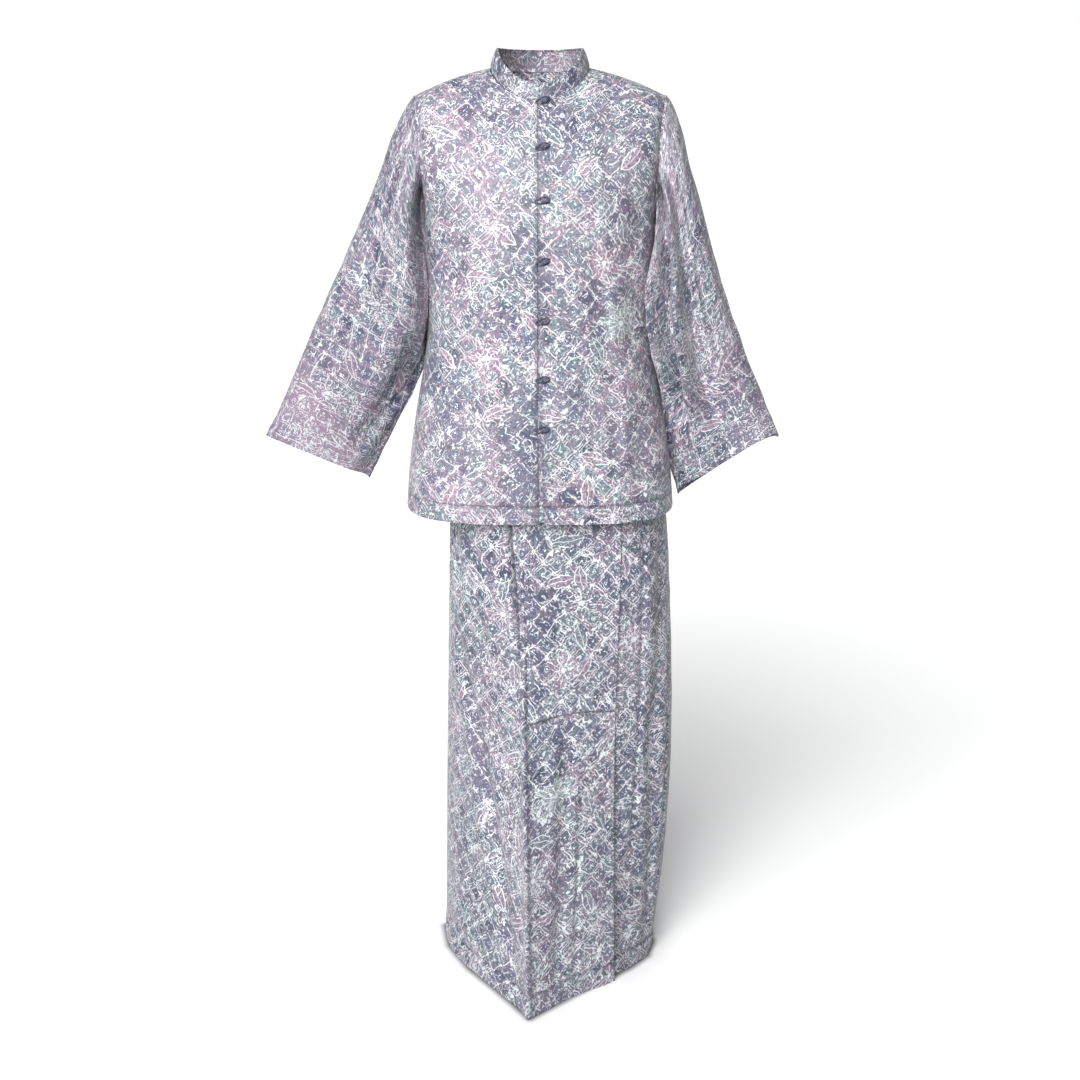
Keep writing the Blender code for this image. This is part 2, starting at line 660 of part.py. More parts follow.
def knot(name, place, n, down, colour):
    # A round-ended knot: rings along its length
    points = []
    faces = []
    rings = 5
    around = 8
    across = np.array((1.0, 0.0, 0.0))
    centre = place + n * (button_thick / 2 + 0.0003)
    points.append(centre - across * button_length / 2)
    for k in range(1, rings + 1):
        f = -1 + 2 * k / (rings + 1)
        fat = (1 - abs(f) ** 2.6) ** 0.5 * (1.0 - 0.10 * math.cos(f * 7.0))
        for i in range(around):
            a = 2 * math.pi * i / around
            offset = down * math.cos(a) * button_width / 2 * fat + n * math.sin(a) * button_thick / 2 * fat
            points.append(centre + across * f * button_length / 2 + offset)
    points.append(centre + across * button_length / 2)
    for i in range(around):
        faces.append((0, 1 + (i + 1) % around, 1 + i))
    for k in range(rings - 1):
        for i in range(around):
            a = 1 + k * around + i
            b = 1 + k * around + (i + 1) % around
            faces.append((a, b, b + around, a + around))
    last = len(points) - 1
    for i in range(around):
        a = 1 + (rings - 1) * around
        faces.append((last, a + i, a + (i + 1) % around))
    pts = np.array(points)
    volume = 0.0
    for face in faces:
        p = pts[list(face)] - centre
        for k in range(1, len(face) - 1):
            volume += float(np.dot(p[0], np.cross(p[k], p[k + 1])))
    if volume < 0:
        faces = [tuple(reversed(face)) for face in faces]
    return add_mesh(name, points, faces, colour, 0.5)


def loop_cord_piece(name, place, n, down, colour):
    # A bent cord: from the edge of the right front, round the knot and back
    across = np.array((1.0, 0.0, 0.0))
    path = []
    base = place + n * (loop_cord / 2 + 0.0006)
    half = button_width / 2 + loop_cord / 2 + 0.0009
    reach = button_length / 2 + loop_cord / 2 + 0.0009
    path.append(base - across * (reach + loop_back) - down * 0.0024)
    path.append(base - across * (reach + 0.0010) - down * (half * 0.72))
    count = 7
    for k in range(count):
        a = math.radians(-118 + 236 * k / (count - 1))
        path.append(base + across * reach * math.cos(a) + down * half * math.sin(a) * 1.0)
    path.append(base - across * (reach + 0.0010) + down * (half * 0.72))
    path.append(base - across * (reach + loop_back) + down * 0.0024)
    # Each point of the cord lies just off the cloth under it
    seated = []
    for p in path:
        y = front_y(p[0], p[2])
        lift = loop_cord * 0.55 + 0.0003
        if y is not None:
            seated.append(np.array((p[0], y - lift / abs(n[1]), p[2])))
        else:
            seated.append(p)
    path = seated
    points = []
    faces = []
    around = 4
    for k, p in enumerate(path):
        a = path[max(k - 1, 0)]
        b = path[min(k + 1, len(path) - 1)]
        t = unit(b - a)
        w = unit(np.cross(n, t))
        for i in range(around):
            g = math.pi / 4 + 2 * math.pi * i / around
            points.append(p + (w * math.cos(g) + n * math.sin(g)) * loop_cord * 0.55)
    for k in range(len(path) - 1):
        for i in range(around):
            a = k * around + i
            b = k * around + (i + 1) % around
            faces.append((a, b, b + around, a + around))
    faces.append(tuple(reversed(range(around))))
    faces.append(tuple((len(path) - 1) * around + i for i in range(around)))
    pts = np.array(points)
    volume = 0.0
    for face in faces:
        p = pts[list(face)] - pts.mean(axis=0)
        for k in range(1, len(face) - 1):
            volume += float(np.dot(p[0], np.cross(p[k], p[k + 1])))
    if volume < 0:
        faces = [tuple(reversed(face)) for face in faces]
    return add_mesh(name, points, faces, colour, 0.5)


dark = (0.16, 0.15, 0.20)
for k, level in enumerate(button_levels):
    place, n, down = front_place(button_x, level)
    knot("button_%d" % (k + 1), place, n, down, dark)
    loop_cord_piece("loop_%d" % (k + 1), place, n, down, dark)


# Skirt: one closed section per level. q counts the stretches round it:
# 0 left side, 1 pressed crease, 2 wrap edge, 3 right side, 3 to 5 the back
def hermite(p0, p1, m0, m1, f):
    f2, f3 = f * f, f * f * f
    return (2 * f3 - 3 * f2 + 1) * p0 + (f3 - 2 * f2 + f) * m0 + (3 * f2 - 2 * f3) * p1 + (f3 - f2) * m1


def skirt_plan(q, z):
    row = smooth_columns(skirt_columns, skirt_rows, z)
    left = np.array((row["lx"], row["ly"]))
    crease = np.array((row["cx"], row["cy"]))
    edge = np.array((row["ex"], row["ey"]))
    right = np.array((row["rx"], row["ry"]))
    back = np.array((row["bx"], row["by"]))
    sharp = smooth_step((-0.62 - z) / 0.40)
    q = q % 5.0
    if q <= 1:
        f = q
        reach = float(np.linalg.norm(crease - left))
        run = unit(crease - left)
        m0 = np.array((0.0, -1.0)) * reach * (1.45 - 0.35 * sharp)
        flat = unit(np.array((1.0, 0.0)) * (1 - sharp) + run * sharp)
        m1 = flat * reach * (1.0 + 0.25 * (1 - sharp))
        return hermite(left, crease, m0, m1, f)
    if q <= 2:
        f = q - 1
        reach = float(np.linalg.norm(edge - crease))
        run = unit(edge - crease)
        m0 = unit(np.array((1.0, 0.0)) * (1 - sharp) + run * sharp) * reach
        m1 = unit(run + np.array((0.15, 0.10))) * reach
        return hermite(crease, edge, m0, m1, f)
    if q <= 3:
        f = q - 2
        reach = float(np.linalg.norm(right - edge))
        run = unit(edge - crease)
        m0 = unit(run + np.array((0.15, 0.10))) * reach * 1.1
        m1 = np.array((0.0, 1.0)) * reach * 1.35
        return hermite(edge, right, m0, m1, f)
    if q <= 4:
        f = q - 3
        start, finish, sign = right, back, 1
        a = f * math.pi / 2
        power = 2.0 / 2.5
        x = finish[0] + (start[0] - finish[0]) * math.cos(a) ** power
        y = start[1] + (finish[1] - start[1]) * math.sin(a) ** power
        return np.array((x, y))
    f = q - 4
    a = (1 - f) * math.pi / 2
    power = 2.0 / 2.5
    c = math.cos(a) if abs(math.cos(a)) > 1e-12 else 0.0
    s = math.sin(a) if abs(math.sin(a)) > 1e-12 else 0.0
    x = back[0] + (left[0] - back[0]) * abs(c) ** power
    y = left[1] + (back[1] - left[1]) * abs(s) ** power
    return np.array((x, y))


def skirt_base(q, z):
    p = skirt_plan(q, z)
    e = 2e-3
    if abs(q - 1.0) < 0.06:
        a = skirt_plan(q - 0.05, z)
        b = skirt_plan(q + 0.05, z)
    else:
        a = skirt_plan(max(q - e, 0.0) if q >= e else 0.0, z)
        b = skirt_plan(min(q + e, 4.9999), z)
    t = unit(b - a)
    n = np.array((t[1], -t[0]))
    dent = 0.0
    if z < -0.46:
        dent = trough(None, skirt_folds, q, z)
        keep = smooth_step(abs(q - 1.0) / 0.18) * smooth_step(abs(q - 2.0) / 0.14)
        keep *= smooth_step(abs(q - 3.0) / 0.12) * smooth_step(min(q, 5 - q) / 0.12)
        dent *= keep * smooth_step((-0.46 - z) / 0.05)
    spot = p - n * dent
    return np.array((spot[0], spot[1], z)), np.array((n[0], n[1], 0.0))


def wrap_offset(q, z):
    # How far the wrap panel stands out over the one beneath it
    over = smooth_step((q - 0.60) / 0.30)
    lift = wrap_edge_lift_top + (wrap_edge_lift_hem - wrap_edge_lift_top) * smooth_step((-0.95 - z) / 0.47)
    near = smooth_step((q - 1.45) / 0.55)
    return over * (cloth + layer_gap) + lift * near


band_low = skirt_waist_z
skirt_levels = [-0.443, -0.50, -0.56, -0.62, -0.69, -0.77, -0.86, -0.95, -1.04, -1.13, -1.22, -1.30, -1.37, -1.42]


def skirt_wall(name, qs, levels, colour, offset, sides, thick=cloth):
    rows, cols = len(levels), len(qs)
    outer = np.zeros((rows, cols, 3))
    inner = np.zeros((rows, cols, 3))
    for j, z in enumerate(levels):
        for i, q in enumerate(qs):
            p, n = skirt_base(q, z)
            out = offset(q, z)
            if abs(q - 1.0) < 1e-6:
                deep = thick * 1.25
            else:
                deep = thick
            outer[j, i] = p + n * out
            inner[j, i] = p + n * (out - deep)
    outer = inset_edges(outer, False, sides)
    inner = inset_edges(inner, False, sides)
    return wall(name, outer, inner, False, colour)


wrap_q = [0, 0.08, 0.18, 0.30, 0.42, 0.54, 0.66, 0.78, 0.89, 0.96, 1.0, 1.05, 1.14, 1.28, 1.44, 1.60, 1.74, 1.88, 2.02]
under_q = [1.28, 1.44, 1.60, 1.74, 1.88, 2.02, 2.14, 2.28, 2.44, 2.58, 2.72, 2.86, 2.94, 3.0]
rear_q = [3.0, 3.05, 3.12, 3.22, 3.34, 3.46, 3.58, 3.70, 3.80, 3.90, 4.0]
rear_q = rear_q + [8.0 - q for q in reversed(rear_q[:-1])]
rear_q[-1] = 4.9999
skirt_wall("skirt_wrap", wrap_q, skirt_levels, lilac, wrap_offset, ("u0",))
skirt_wall("skirt_underlap", under_q, skirt_levels, slate, lambda q, z: 0.0, ("u1",))
skirt_wall("skirt_back", rear_q, skirt_levels, lilac, lambda q, z: 0.0, ("u0", "u1"))

# Waistband: a closed ring butted on the top of the skirt, hidden by the top
band_q = [q for q in wrap_q if q < 2] + [2.14, 2.30, 2.5, 2.7, 2.86, 3.0] + rear_q[1:-1]
band_outer = np.zeros((3, len(band_q), 3))
band_inner = np.zeros((3, len(band_q), 3))
for j, z in enumerate((skirt_waist_z - 0.0026, skirt_waist_z + waistband_height / 2, skirt_waist_z + waistband_height)):
    for i, q in enumerate(band_q):
        p, n = skirt_base(q, z)
        over = 0.0 if j else 0.0
        band_outer[j, i] = p + n * (0.0022 + over)
        band_inner[j, i] = p + n * (0.0022 + over - 0.0024)
wall("skirt_waistband", band_outer, band_inner, True, slate)

print("solids", len(garment.objects))
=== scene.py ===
# Baju kurung: printed stand-collar top with knot buttons over a long wrap skirt
import bpy
import bmesh
import math
import numpy as np
from mathutils import Matrix, Vector
from mathutils.bvhtree import BVHTree


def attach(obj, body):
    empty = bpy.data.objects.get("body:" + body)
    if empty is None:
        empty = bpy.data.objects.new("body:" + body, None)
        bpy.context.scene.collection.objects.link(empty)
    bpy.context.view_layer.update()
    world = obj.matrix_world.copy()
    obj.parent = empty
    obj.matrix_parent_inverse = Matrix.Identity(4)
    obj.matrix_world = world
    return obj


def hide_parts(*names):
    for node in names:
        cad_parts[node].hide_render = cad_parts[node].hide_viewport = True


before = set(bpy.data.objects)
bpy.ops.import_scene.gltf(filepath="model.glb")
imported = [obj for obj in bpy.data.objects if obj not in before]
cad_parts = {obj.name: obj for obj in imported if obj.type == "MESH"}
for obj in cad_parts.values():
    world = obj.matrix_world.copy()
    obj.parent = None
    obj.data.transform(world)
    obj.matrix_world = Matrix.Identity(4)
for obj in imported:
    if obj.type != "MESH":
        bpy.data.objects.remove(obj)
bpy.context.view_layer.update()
scene = bpy.context.scene
scene.view_settings.view_transform = "Standard"

# Camera, at the photograph's angle
cameraSettings = {"place": (0.0, -2.36, 0.066), "tiltDown": 18.287, "lens": 52.491}
cameraData = bpy.data.cameras.new("studioCamera")
cameraData.lens = cameraSettings["lens"]
cameraData.sensor_width = 36.0
camera = bpy.data.objects.new("studioCamera", cameraData)
camera.location = cameraSettings["place"]
camera.rotation_euler = (math.radians(90 - cameraSettings["tiltDown"]), 0, 0)
scene.collection.objects.link(camera)
scene.camera = camera

# Floor and light
studio = {
    "floorZ": -1.4212, "floorSize": 600.0, "floorColour": (0.88, 0.88, 0.88), "floorRoughness": 0.9,
    "glowNear": 0.06, "glowFar": 0.37, "glowFrom": 0.3, "glowTo": 3.2, "sky": 0.29, "skyColour": (0.97, 0.98, 1.0),
    "sunPower": 3.15, "sunSpread": 48.0, "sunFrom": (-0.48, -1.0, 0.74), "boxTo": (0.0, 0.0, -0.35),
    "boxes": (("studioBox", 50.0, 1.3, (-0.60, -2.35, 0.62)), ("studioFill", 15.0, 2.0, (-0.25, 2.50, 0.20))),
    "contact": ((0.015, 0.72), (0.070, 0.14)), "contactColour": (0.02, 0.02, 0.025, 1.0),
}


def layStudio():
    made = bmesh.new()
    bmesh.ops.create_grid(made, x_segments=1, y_segments=1, size=studio["floorSize"])
    mesh = bpy.data.meshes.new("studioFloor")
    made.to_mesh(mesh)
    made.free()
    floor = bpy.data.objects.new("studioFloor", mesh)
    floor.location = (0, 0, studio["floorZ"])
    scene.collection.objects.link(floor)
    paint = bpy.data.materials.new("studioFloor")
    paint.use_nodes = True
    shader = paint.node_tree.nodes["Principled BSDF"]
    shader.inputs["Base Color"].default_value = (*studio["floorColour"], 1)
    shader.inputs["Roughness"].default_value = studio["floorRoughness"]
    # Painted light: the floor glows by itself, so the backdrop reads white; round the garment the paper glows less,
    # a painted darker pool, so its shadow stays soft and grey
    nodes, links = paint.node_tree.nodes, paint.node_tree.links
    place, far = nodes.new("ShaderNodeTexCoord"), nodes.new("ShaderNodeVectorMath")
    far.operation = "LENGTH"
    links.new(place.outputs["Object"], far.inputs[0])
    glow = nodes.new("ShaderNodeMapRange")
    glow.interpolation_type = "SMOOTHSTEP"
    for socket, key in (("From Min", "glowFrom"), ("From Max", "glowTo"),
                        ("To Min", "glowNear"), ("To Max", "glowFar")):
        glow.inputs[socket].default_value = studio[key]
    links.new(far.outputs["Value"], glow.inputs["Value"])
    links.new(glow.outputs["Result"], shader.inputs["Emission Color"])
    shader.inputs["Emission Strength"].default_value = 1.0
    mesh.materials.append(paint)
    floor.visible_diffuse = False
    world = bpy.data.worlds.new("studioSky")
    world.use_nodes = True
    nodes, links = world.node_tree.nodes, world.node_tree.links
    sky = nodes["Background"]
    sky.inputs["Color"].default_value = (*studio["skyColour"], 1)
    sky.inputs["Strength"].default_value = studio["sky"]
    # Seen directly the room is plain white, as lighting it is dimmer
    seen, either = nodes.new("ShaderNodeBackground"), nodes.new("ShaderNodeMixShader")
    path = nodes.new("ShaderNodeLightPath")
    seen.inputs["Color"].default_value = (1, 1, 1, 1)
    links.new(path.outputs["Is Camera Ray"], either.inputs[0])
    links.new(sky.outputs[0], either.inputs[1])
    links.new(seen.outputs[0], either.inputs[2])
    links.new(either.outputs[0], nodes["World Output"].inputs["Surface"])
    scene.world = world
    sun = bpy.data.lights.new("studioKey", "SUN")
    sun.energy = studio["sunPower"]
    sun.angle = math.radians(studio["sunSpread"])
    lamp = bpy.data.objects.new("studioKey", sun)
    lamp.rotation_euler = Vector(studio["sunFrom"]).to_track_quat("Z", "Y").to_euler()
    scene.collection.objects.link(lamp)
    # A softbox nearer the top than the hem, so that the light falls off down the skirt, and a weak one behind
    for name, power, size, spot in studio["boxes"]:
        box = bpy.data.lights.new(name, "AREA")
        box.size = size
        box.energy = power
        lamp = bpy.data.objects.new(name, box)
        lamp.location = spot
        lamp.rotation_euler = (Vector(spot) - Vector(studio["boxTo"])).to_track_quat("Z", "Y").to_euler()
        scene.collection.objects.link(lamp)


layStudio()
print("stage and camera set")


# Print and cloth shaders
fullTurn = 6.283  # radians


def shaderKit(tree, wanted):
    # Small makers for nodes: each value is a number, a colour or another node's socket
    def make(kind, sockets=(), out=0, **settings):
        node = tree.nodes.new(kind)
        for key, value in settings.items():
            setattr(node, key, value)
        for key, value in dict(sockets).items():
            if isinstance(value, bpy.types.NodeSocket):
                tree.links.new(value, node.inputs[key])
            else:
                node.inputs[key].default_value = value
        return node.outputs[out]

    def calc(kind, a, b=0.0, c=0.0):
        return make("ShaderNodeMath", {0: a, 1: b, 2: c}, operation=kind)

    def times(a, b):
        return calc("MULTIPLY", a, b)

    def plus(a, b):
        return calc("ADD", a, b)

    def minus(a, b):
        return calc("SUBTRACT", a, b)

    def most(first, *others):
        for other in others:
            first = calc("MAXIMUM", first, other)
        return first

    def step(value, low, high):
        # 0 below low, 1 above high; the other way round if low is the greater
        return make("ShaderNodeMapRange", {"Value": value, "From Min": low, "From Max": high, "To Min": 0.0,
                                           "To Max": 1.0}, interpolation_type="SMOOTHSTEP")

    def noise(vector, scale, detail=1.0, rough=0.5, out="Fac"):
        return make("ShaderNodeTexNoise", {"Vector": vector, "Scale": scale, "Detail": detail, "Roughness": rough},
                    out=out, noise_dimensions="2D")

    def blend(amount, a, b):
        return make("ShaderNodeMix", {0: amount, 6: a, 7: b}, out=2, data_type="RGBA")

    def vector(kind, a, b=(0, 0, 0), out=0):
        return make("ShaderNodeVectorMath", {0: a, 1: b}, out=out, operation=kind)

    def line(value, middle, half):
        # A thin band round one value
        off = calc("ABSOLUTE", minus(value, middle))
        return step(off, half, half * 0.45 if isinstance(half, float) else times(half, 0.45))

    kit = {"make": make, "calc": calc, "times": times, "plus": plus, "minus": minus, "most": most, "step": step,
           "noise": noise, "blend": blend, "vector": vector, "line": line}
    return [kit[name] for name in wanted.split()]


def newGroup(name, sockets):
    # An empty node group with its named inputs and outputs
    tree = bpy.data.node_groups.new(name, "ShaderNodeTree")
    for socket, way, kind in sockets:
        tree.interface.new_socket(socket, in_out=way, socket_type="NodeSocket" + kind)
    return tree, tree.nodes.new("NodeGroupInput").outputs, tree.nodes.new("NodeGroupOutput").inputs


inks = {
    "slate": (0.134, 0.145, 0.219), "teal": (0.199, 0.256, 0.280), "deep": (0.034, 0.036, 0.069),
    "mauve": (0.228, 0.195, 0.248), "pink": (0.391, 0.273, 0.352), "mint": (0.328, 0.422, 0.414),
    "night": (0.022, 0.026, 0.078), "waxCool": (0.760, 0.815, 0.840),
    "wax": (0.680, 0.727, 0.707), "waxWarm": (0.703, 0.672, 0.688),
}
# Sizes in metres; band is a share of a cell, flower and leaf are how many to a metre
printSizes = {
    "cell": 0.0262, "band": 0.345, "slowWobble": 0.015, "quickWobble": 0.0036,
    "leaf": 15.0, "leafHalf": 0.024, "leafWide": 0.0095, "flower": 8.6, "flowerReach": 0.024, "flowerMore": 0.014,
}


def ink(name):
    return (*inks[name], 1.0)


def buildPrint():
    tree, given, result = newGroup("batikPrint", (
        ("Vector", "INPUT", "Vector"), ("Lattice", "INPUT", "Float"), ("Rose", "INPUT", "Float"),
        ("Colour", "OUTPUT", "Color")))
    make, calc, times, plus, minus, most, step, noise, blend, vector, line = shaderKit(
        tree, "make calc times plus minus most step noise blend vector line")
    flat, lattice, rose = given["Vector"], given["Lattice"], given["Rose"]

    def wobble(scale, amount):
        centred = vector("SUBTRACT", noise(flat, scale, 1.0, 0.5, "Color"), (0.5, 0.5, 0.5))
        return make("ShaderNodeVectorMath", {0: centred, 3: amount}, operation="SCALE")

    # Hand-drawn wobble, slow and quick
    drawn = vector("ADD", flat, wobble(13.0, printSizes["slowWobble"]))
    drawn = vector("ADD", drawn, wobble(95.0, printSizes["quickWobble"]))
    region = noise(flat, 11.0, 2.0)
    grit = noise(flat, 240.0, 2.0, 0.6)
    gaps = noise(flat, 105.0, 2.0, 0.6)
    # Diamond lattice
    turned = make("ShaderNodeMapping", {"Vector": drawn, "Rotation": (0, 0, math.radians(45)),
                                        "Scale": (1 / printSizes["cell"],) * 3})
    cell = vector("FLOOR", turned)
    within = vector("SUBTRACT", vector("FRACTION", turned), (0.5, 0.5, 0.5))
    parts = make("ShaderNodeSeparateXYZ", {0: within}).node
    reachX, reachY = calc("ABSOLUTE", parts.outputs[0]), calc("ABSOLUTE", parts.outputs[1])
    edge = plus(most(reachX, reachY), times(minus(grit, 0.5), 0.07))
    corner = calc("MINIMUM", reachX, reachY)
    chance = make("ShaderNodeTexWhiteNoise", {"Vector": cell}, out="Value", noise_dimensions="2D")
    luck = make("ShaderNodeTexWhiteNoise", {"Vector": vector("ADD", cell, (7.3, 2.9, 0))}, out="Value",
                noise_dimensions="2D")
    cloudy = noise(drawn, 48.0, 3.0, 0.65)
    mottle = plus(times(chance, 0.6), plus(region, cloudy))
    field = blend(step(mottle, 1.02, 1.50), ink("slate"), ink("teal"))
    field = blend(times(step(luck, 0.70, 0.76), times(cloudy, 1.1)), field, ink("deep"))
    rosy = step(plus(noise(flat, 9.0, 2.0), times(minus(rose, 0.5), 0.14)), 0.46, 0.62)
    blush = blend(rosy, ink("mauve"), ink("pink"))
    field = blend(times(step(noise(drawn, 30.0, 2.0), 0.50, 0.62), 0.55), field, blush)
    band = printSizes["band"]
    bandMask = step(plus(edge, times(minus(cloudy, 0.5), 0.24)), band, band + 0.06)
    field = blend(times(bandMask, times(step(cloudy, 0.34, 0.50), 0.85)), field, blush)
    # White wax along the lattice, broken, with stars where the lines cross
    broken = step(gaps, 0.48, 0.54)
    opened = times(minus(1.0, lattice), 0.09)
    weight = plus(0.74, times(lattice, 0.24))
    inner = times(line(edge, band, times(grit, times(weight, 0.046))),
                  step(minus(times(plus(gaps, region), 0.5), opened), 0.44, 0.50))
    outer = times(line(edge, 0.490, times(weight, 0.024)),
                  step(minus(noise(flat, 62.0, 2.0), opened), 0.43, 0.49))
    star = times(step(corner, 0.36, 0.40), step(noise(drawn, 210.0, 1.0), 0.50, 0.56))
    middle = vector("LENGTH", vector("MULTIPLY", within, (1, 1, 0)), out=1)
    dotSize = plus(0.045, times(chance, 0.04))
    dot = step(middle, dotSize, times(dotSize, 0.6))
    ring = times(line(middle, 0.125, 0.024), times(step(luck, 0.40, 0.36), broken))
    wax = most(inner, outer, star, dot, ring)

    def bloom(scale, shift):
        # The nearest motif's own middle, and random numbers for it
        spots = make("ShaderNodeTexVoronoi", {"Vector": vector("ADD", flat, shift), "Scale": scale,
                                              "Randomness": 0.85}, voronoi_dimensions="2D").node
        own = vector("SUBTRACT", vector("ADD", drawn, shift), spots.outputs["Position"])
        split = make("ShaderNodeSeparateColor", {0: spots.outputs["Color"]}).node
        spun = make("ShaderNodeVectorRotate", {"Vector": own, "Angle": times(split.outputs[0], fullTurn)},
                    rotation_type="Z_AXIS")
        axes = make("ShaderNodeSeparateXYZ", {0: spun}).node
        return axes.outputs[0], axes.outputs[1], split.outputs

    # Leaves
    lx, ly, leafLuck = bloom(printSizes["leaf"], (0.031, 0.047, 0))
    reach = minus(1.0, calc("POWER", calc("DIVIDE", calc("ABSOLUTE", lx), printSizes["leafHalf"]), 2.0))
    leafEdge = minus(times(reach, printSizes["leafWide"]), calc("ABSOLUTE", ly))
    leafOn = step(leafLuck[1], 0.45, 0.46)
    leaf = times(step(leafEdge, 0.0, 0.0008), leafOn)
    leafLine = times(line(leafEdge, 0.0004, 0.0011), times(leafOn, step(gaps, 0.40, 0.46)))
    rib = times(line(ly, 0.0, 0.0007), leaf)
    field = blend(times(leaf, 0.78), field, blend(step(leafLuck[2], 0.35, 0.40), ink("teal"), ink("pink")))
    wax = times(wax, minus(1.0, times(leaf, 0.8)))
    wax = most(wax, leafLine, rib)
    # Open flowers
    fx, fy, luckOf = bloom(printSizes["flower"], (0.0, 0.0, 0.0))
    radius = calc("SQRT", plus(times(fx, fx), times(fy, fy)))
    count = calc("FLOOR", plus(5.0, times(luckOf[2], 3.0)))
    petal = calc("COSINE", times(calc("ARCTAN2", fy, fx), count))
    size = plus(printSizes["flowerReach"], times(luckOf[1], printSizes["flowerMore"]))
    rim = times(size, plus(0.76, times(petal, 0.24)))
    rim = plus(rim, times(minus(noise(flat, 60.0), 0.5), 0.012))
    flowerOn = step(luckOf[0], 0.50, 0.51)
    blossom = times(step(minus(rim, radius), 0.0, 0.0008), flowerOn)
    outline = times(line(radius, rim, 0.0010), times(flowerOn, step(gaps, 0.44, 0.50)))
    second = times(line(radius, times(rim, 0.55), 0.0009), times(flowerOn, broken))
    petalGaps = times(step(petal, -0.90, -0.97), blossom)
    veins = times(times(step(petal, 0.93, 0.98), blossom), step(grit, 0.46, 0.52))
    heart = times(step(radius, 0.0046, 0.0036), flowerOn)
    heartRing = times(line(radius, 0.0080, 0.0008), times(flowerOn, broken))
    tone = blend(step(luckOf[1], 0.76, 0.80), ink("pink"), ink("mint"))
    tone = blend(step(luckOf[2], 0.30, 0.26), tone, ink("mauve"))
    field = blend(times(blossom, 0.84), field, tone)
    wax = times(wax, minus(1.0, times(blossom, 0.85)))
    wax = most(wax, outline, second, petalGaps, veins, times(heart, 0.9), heartRing)

    def flecks(angle, along, across, level, shift):
        slant = make("ShaderNodeMapping", {"Vector": drawn, "Location": shift,
                                           "Rotation": (0, 0, math.radians(angle))})
        slant = vector("MULTIPLY", slant, (along, across, 1))
        return step(noise(slant, 1.0, 1.0), level, level + 0.035)

    # Long scribbles, and flecks in several slants
    scribble = times(line(noise(drawn, 26.0, 1.0), 0.5, times(weight, 0.011)), step(gaps, 0.46, 0.52))
    tight = times(line(noise(drawn, 95.0, 1.0), 0.5, times(weight, 0.028)), step(noise(flat, 22.0, 1.0), 0.55, 0.61))
    where = noise(flat, 17.0, 1.0)
    wax = most(wax, scribble, tight,
               times(flecks(42, 95, 360, 0.675, (3, 1, 0)), step(where, 0.50, 0.56)),
               times(flecks(-47, 100, 370, 0.675, (1, 5, 0)), step(where, 0.50, 0.44)),
               times(flecks(12, 110, 420, 0.72, (2, 7, 0)), 0.8),
               times(flecks(83, 110, 420, 0.72, (6, 4, 0)), 0.8))
    # Shade of the wax and of the dye, then fine crackle in the wax
    waxTone = blend(step(noise(flat, 19.0, 1.0), 0.42, 0.60), ink("wax"), ink("waxWarm"))
    waxTone = blend(times(lattice, 0.9), waxTone, ink("waxCool"))
    dye = blend(times(step(noise(flat, 300.0, 2.0), 0.47, 0.62), 0.60), field, ink("deep"))
    dye = blend(times(step(noise(flat, 5.0, 2.0), 0.40, 0.70), times(rose, 0.4)), dye, ink("pink"))
    dye = blend(times(lattice, 0.32), dye, ink("night"))
    crack = make("ShaderNodeTexVoronoi", {"Vector": drawn, "Scale": 120.0}, feature="DISTANCE_TO_EDGE",
                 voronoi_dimensions="2D")
    wax = times(wax, minus(1.0, times(step(crack, 0.05, 0.02), 0.35)))
    tree.links.new(blend(wax, dye, waxTone), result["Colour"])
    return tree


def buildWeave():
    tree, given, result = newGroup("satinWeave", (
        ("Vector", "INPUT", "Vector"), ("Pitch", "INPUT", "Float"), ("Height", "OUTPUT", "Float"),
        ("Gloss", "OUTPUT", "Float")))
    make, calc, times, plus, noise, vector = shaderKit(tree, "make calc times plus noise vector")
    flat = given["Vector"]
    axes = make("ShaderNodeSeparateXYZ", {0: flat}).node.outputs
    turns = calc("DIVIDE", fullTurn, given["Pitch"])
    warp = calc("SINE", times(axes[0], turns))
    weft = calc("SINE", plus(times(axes[1], turns), times(axes[0], times(turns, 0.25))))
    slub = noise(vector("MULTIPLY", flat, (900, 60, 1)), 1.0, 2.0)
    tree.links.new(plus(times(plus(warp, weft), 0.25), times(slub, 0.8)), result["Height"])
    tree.links.new(plus(0.40, times(slub, 0.16)), result["Gloss"])
    return tree


batikPrint = buildPrint()
satinWeave = buildWeave()


clothFinish = {"pitch": 0.00055, "bump": 0.35, "bumpDepth": 0.00012,
               "inputs": {"Specular IOR Level": 0.45, "Sheen Weight": 0.10, "Sheen Roughness": 0.45}}


def newMaterial(name):
    paint = bpy.data.materials.new(name)
    paint.use_nodes = True
    return paint, paint.node_tree, paint.node_tree.nodes["Principled BSDF"].inputs


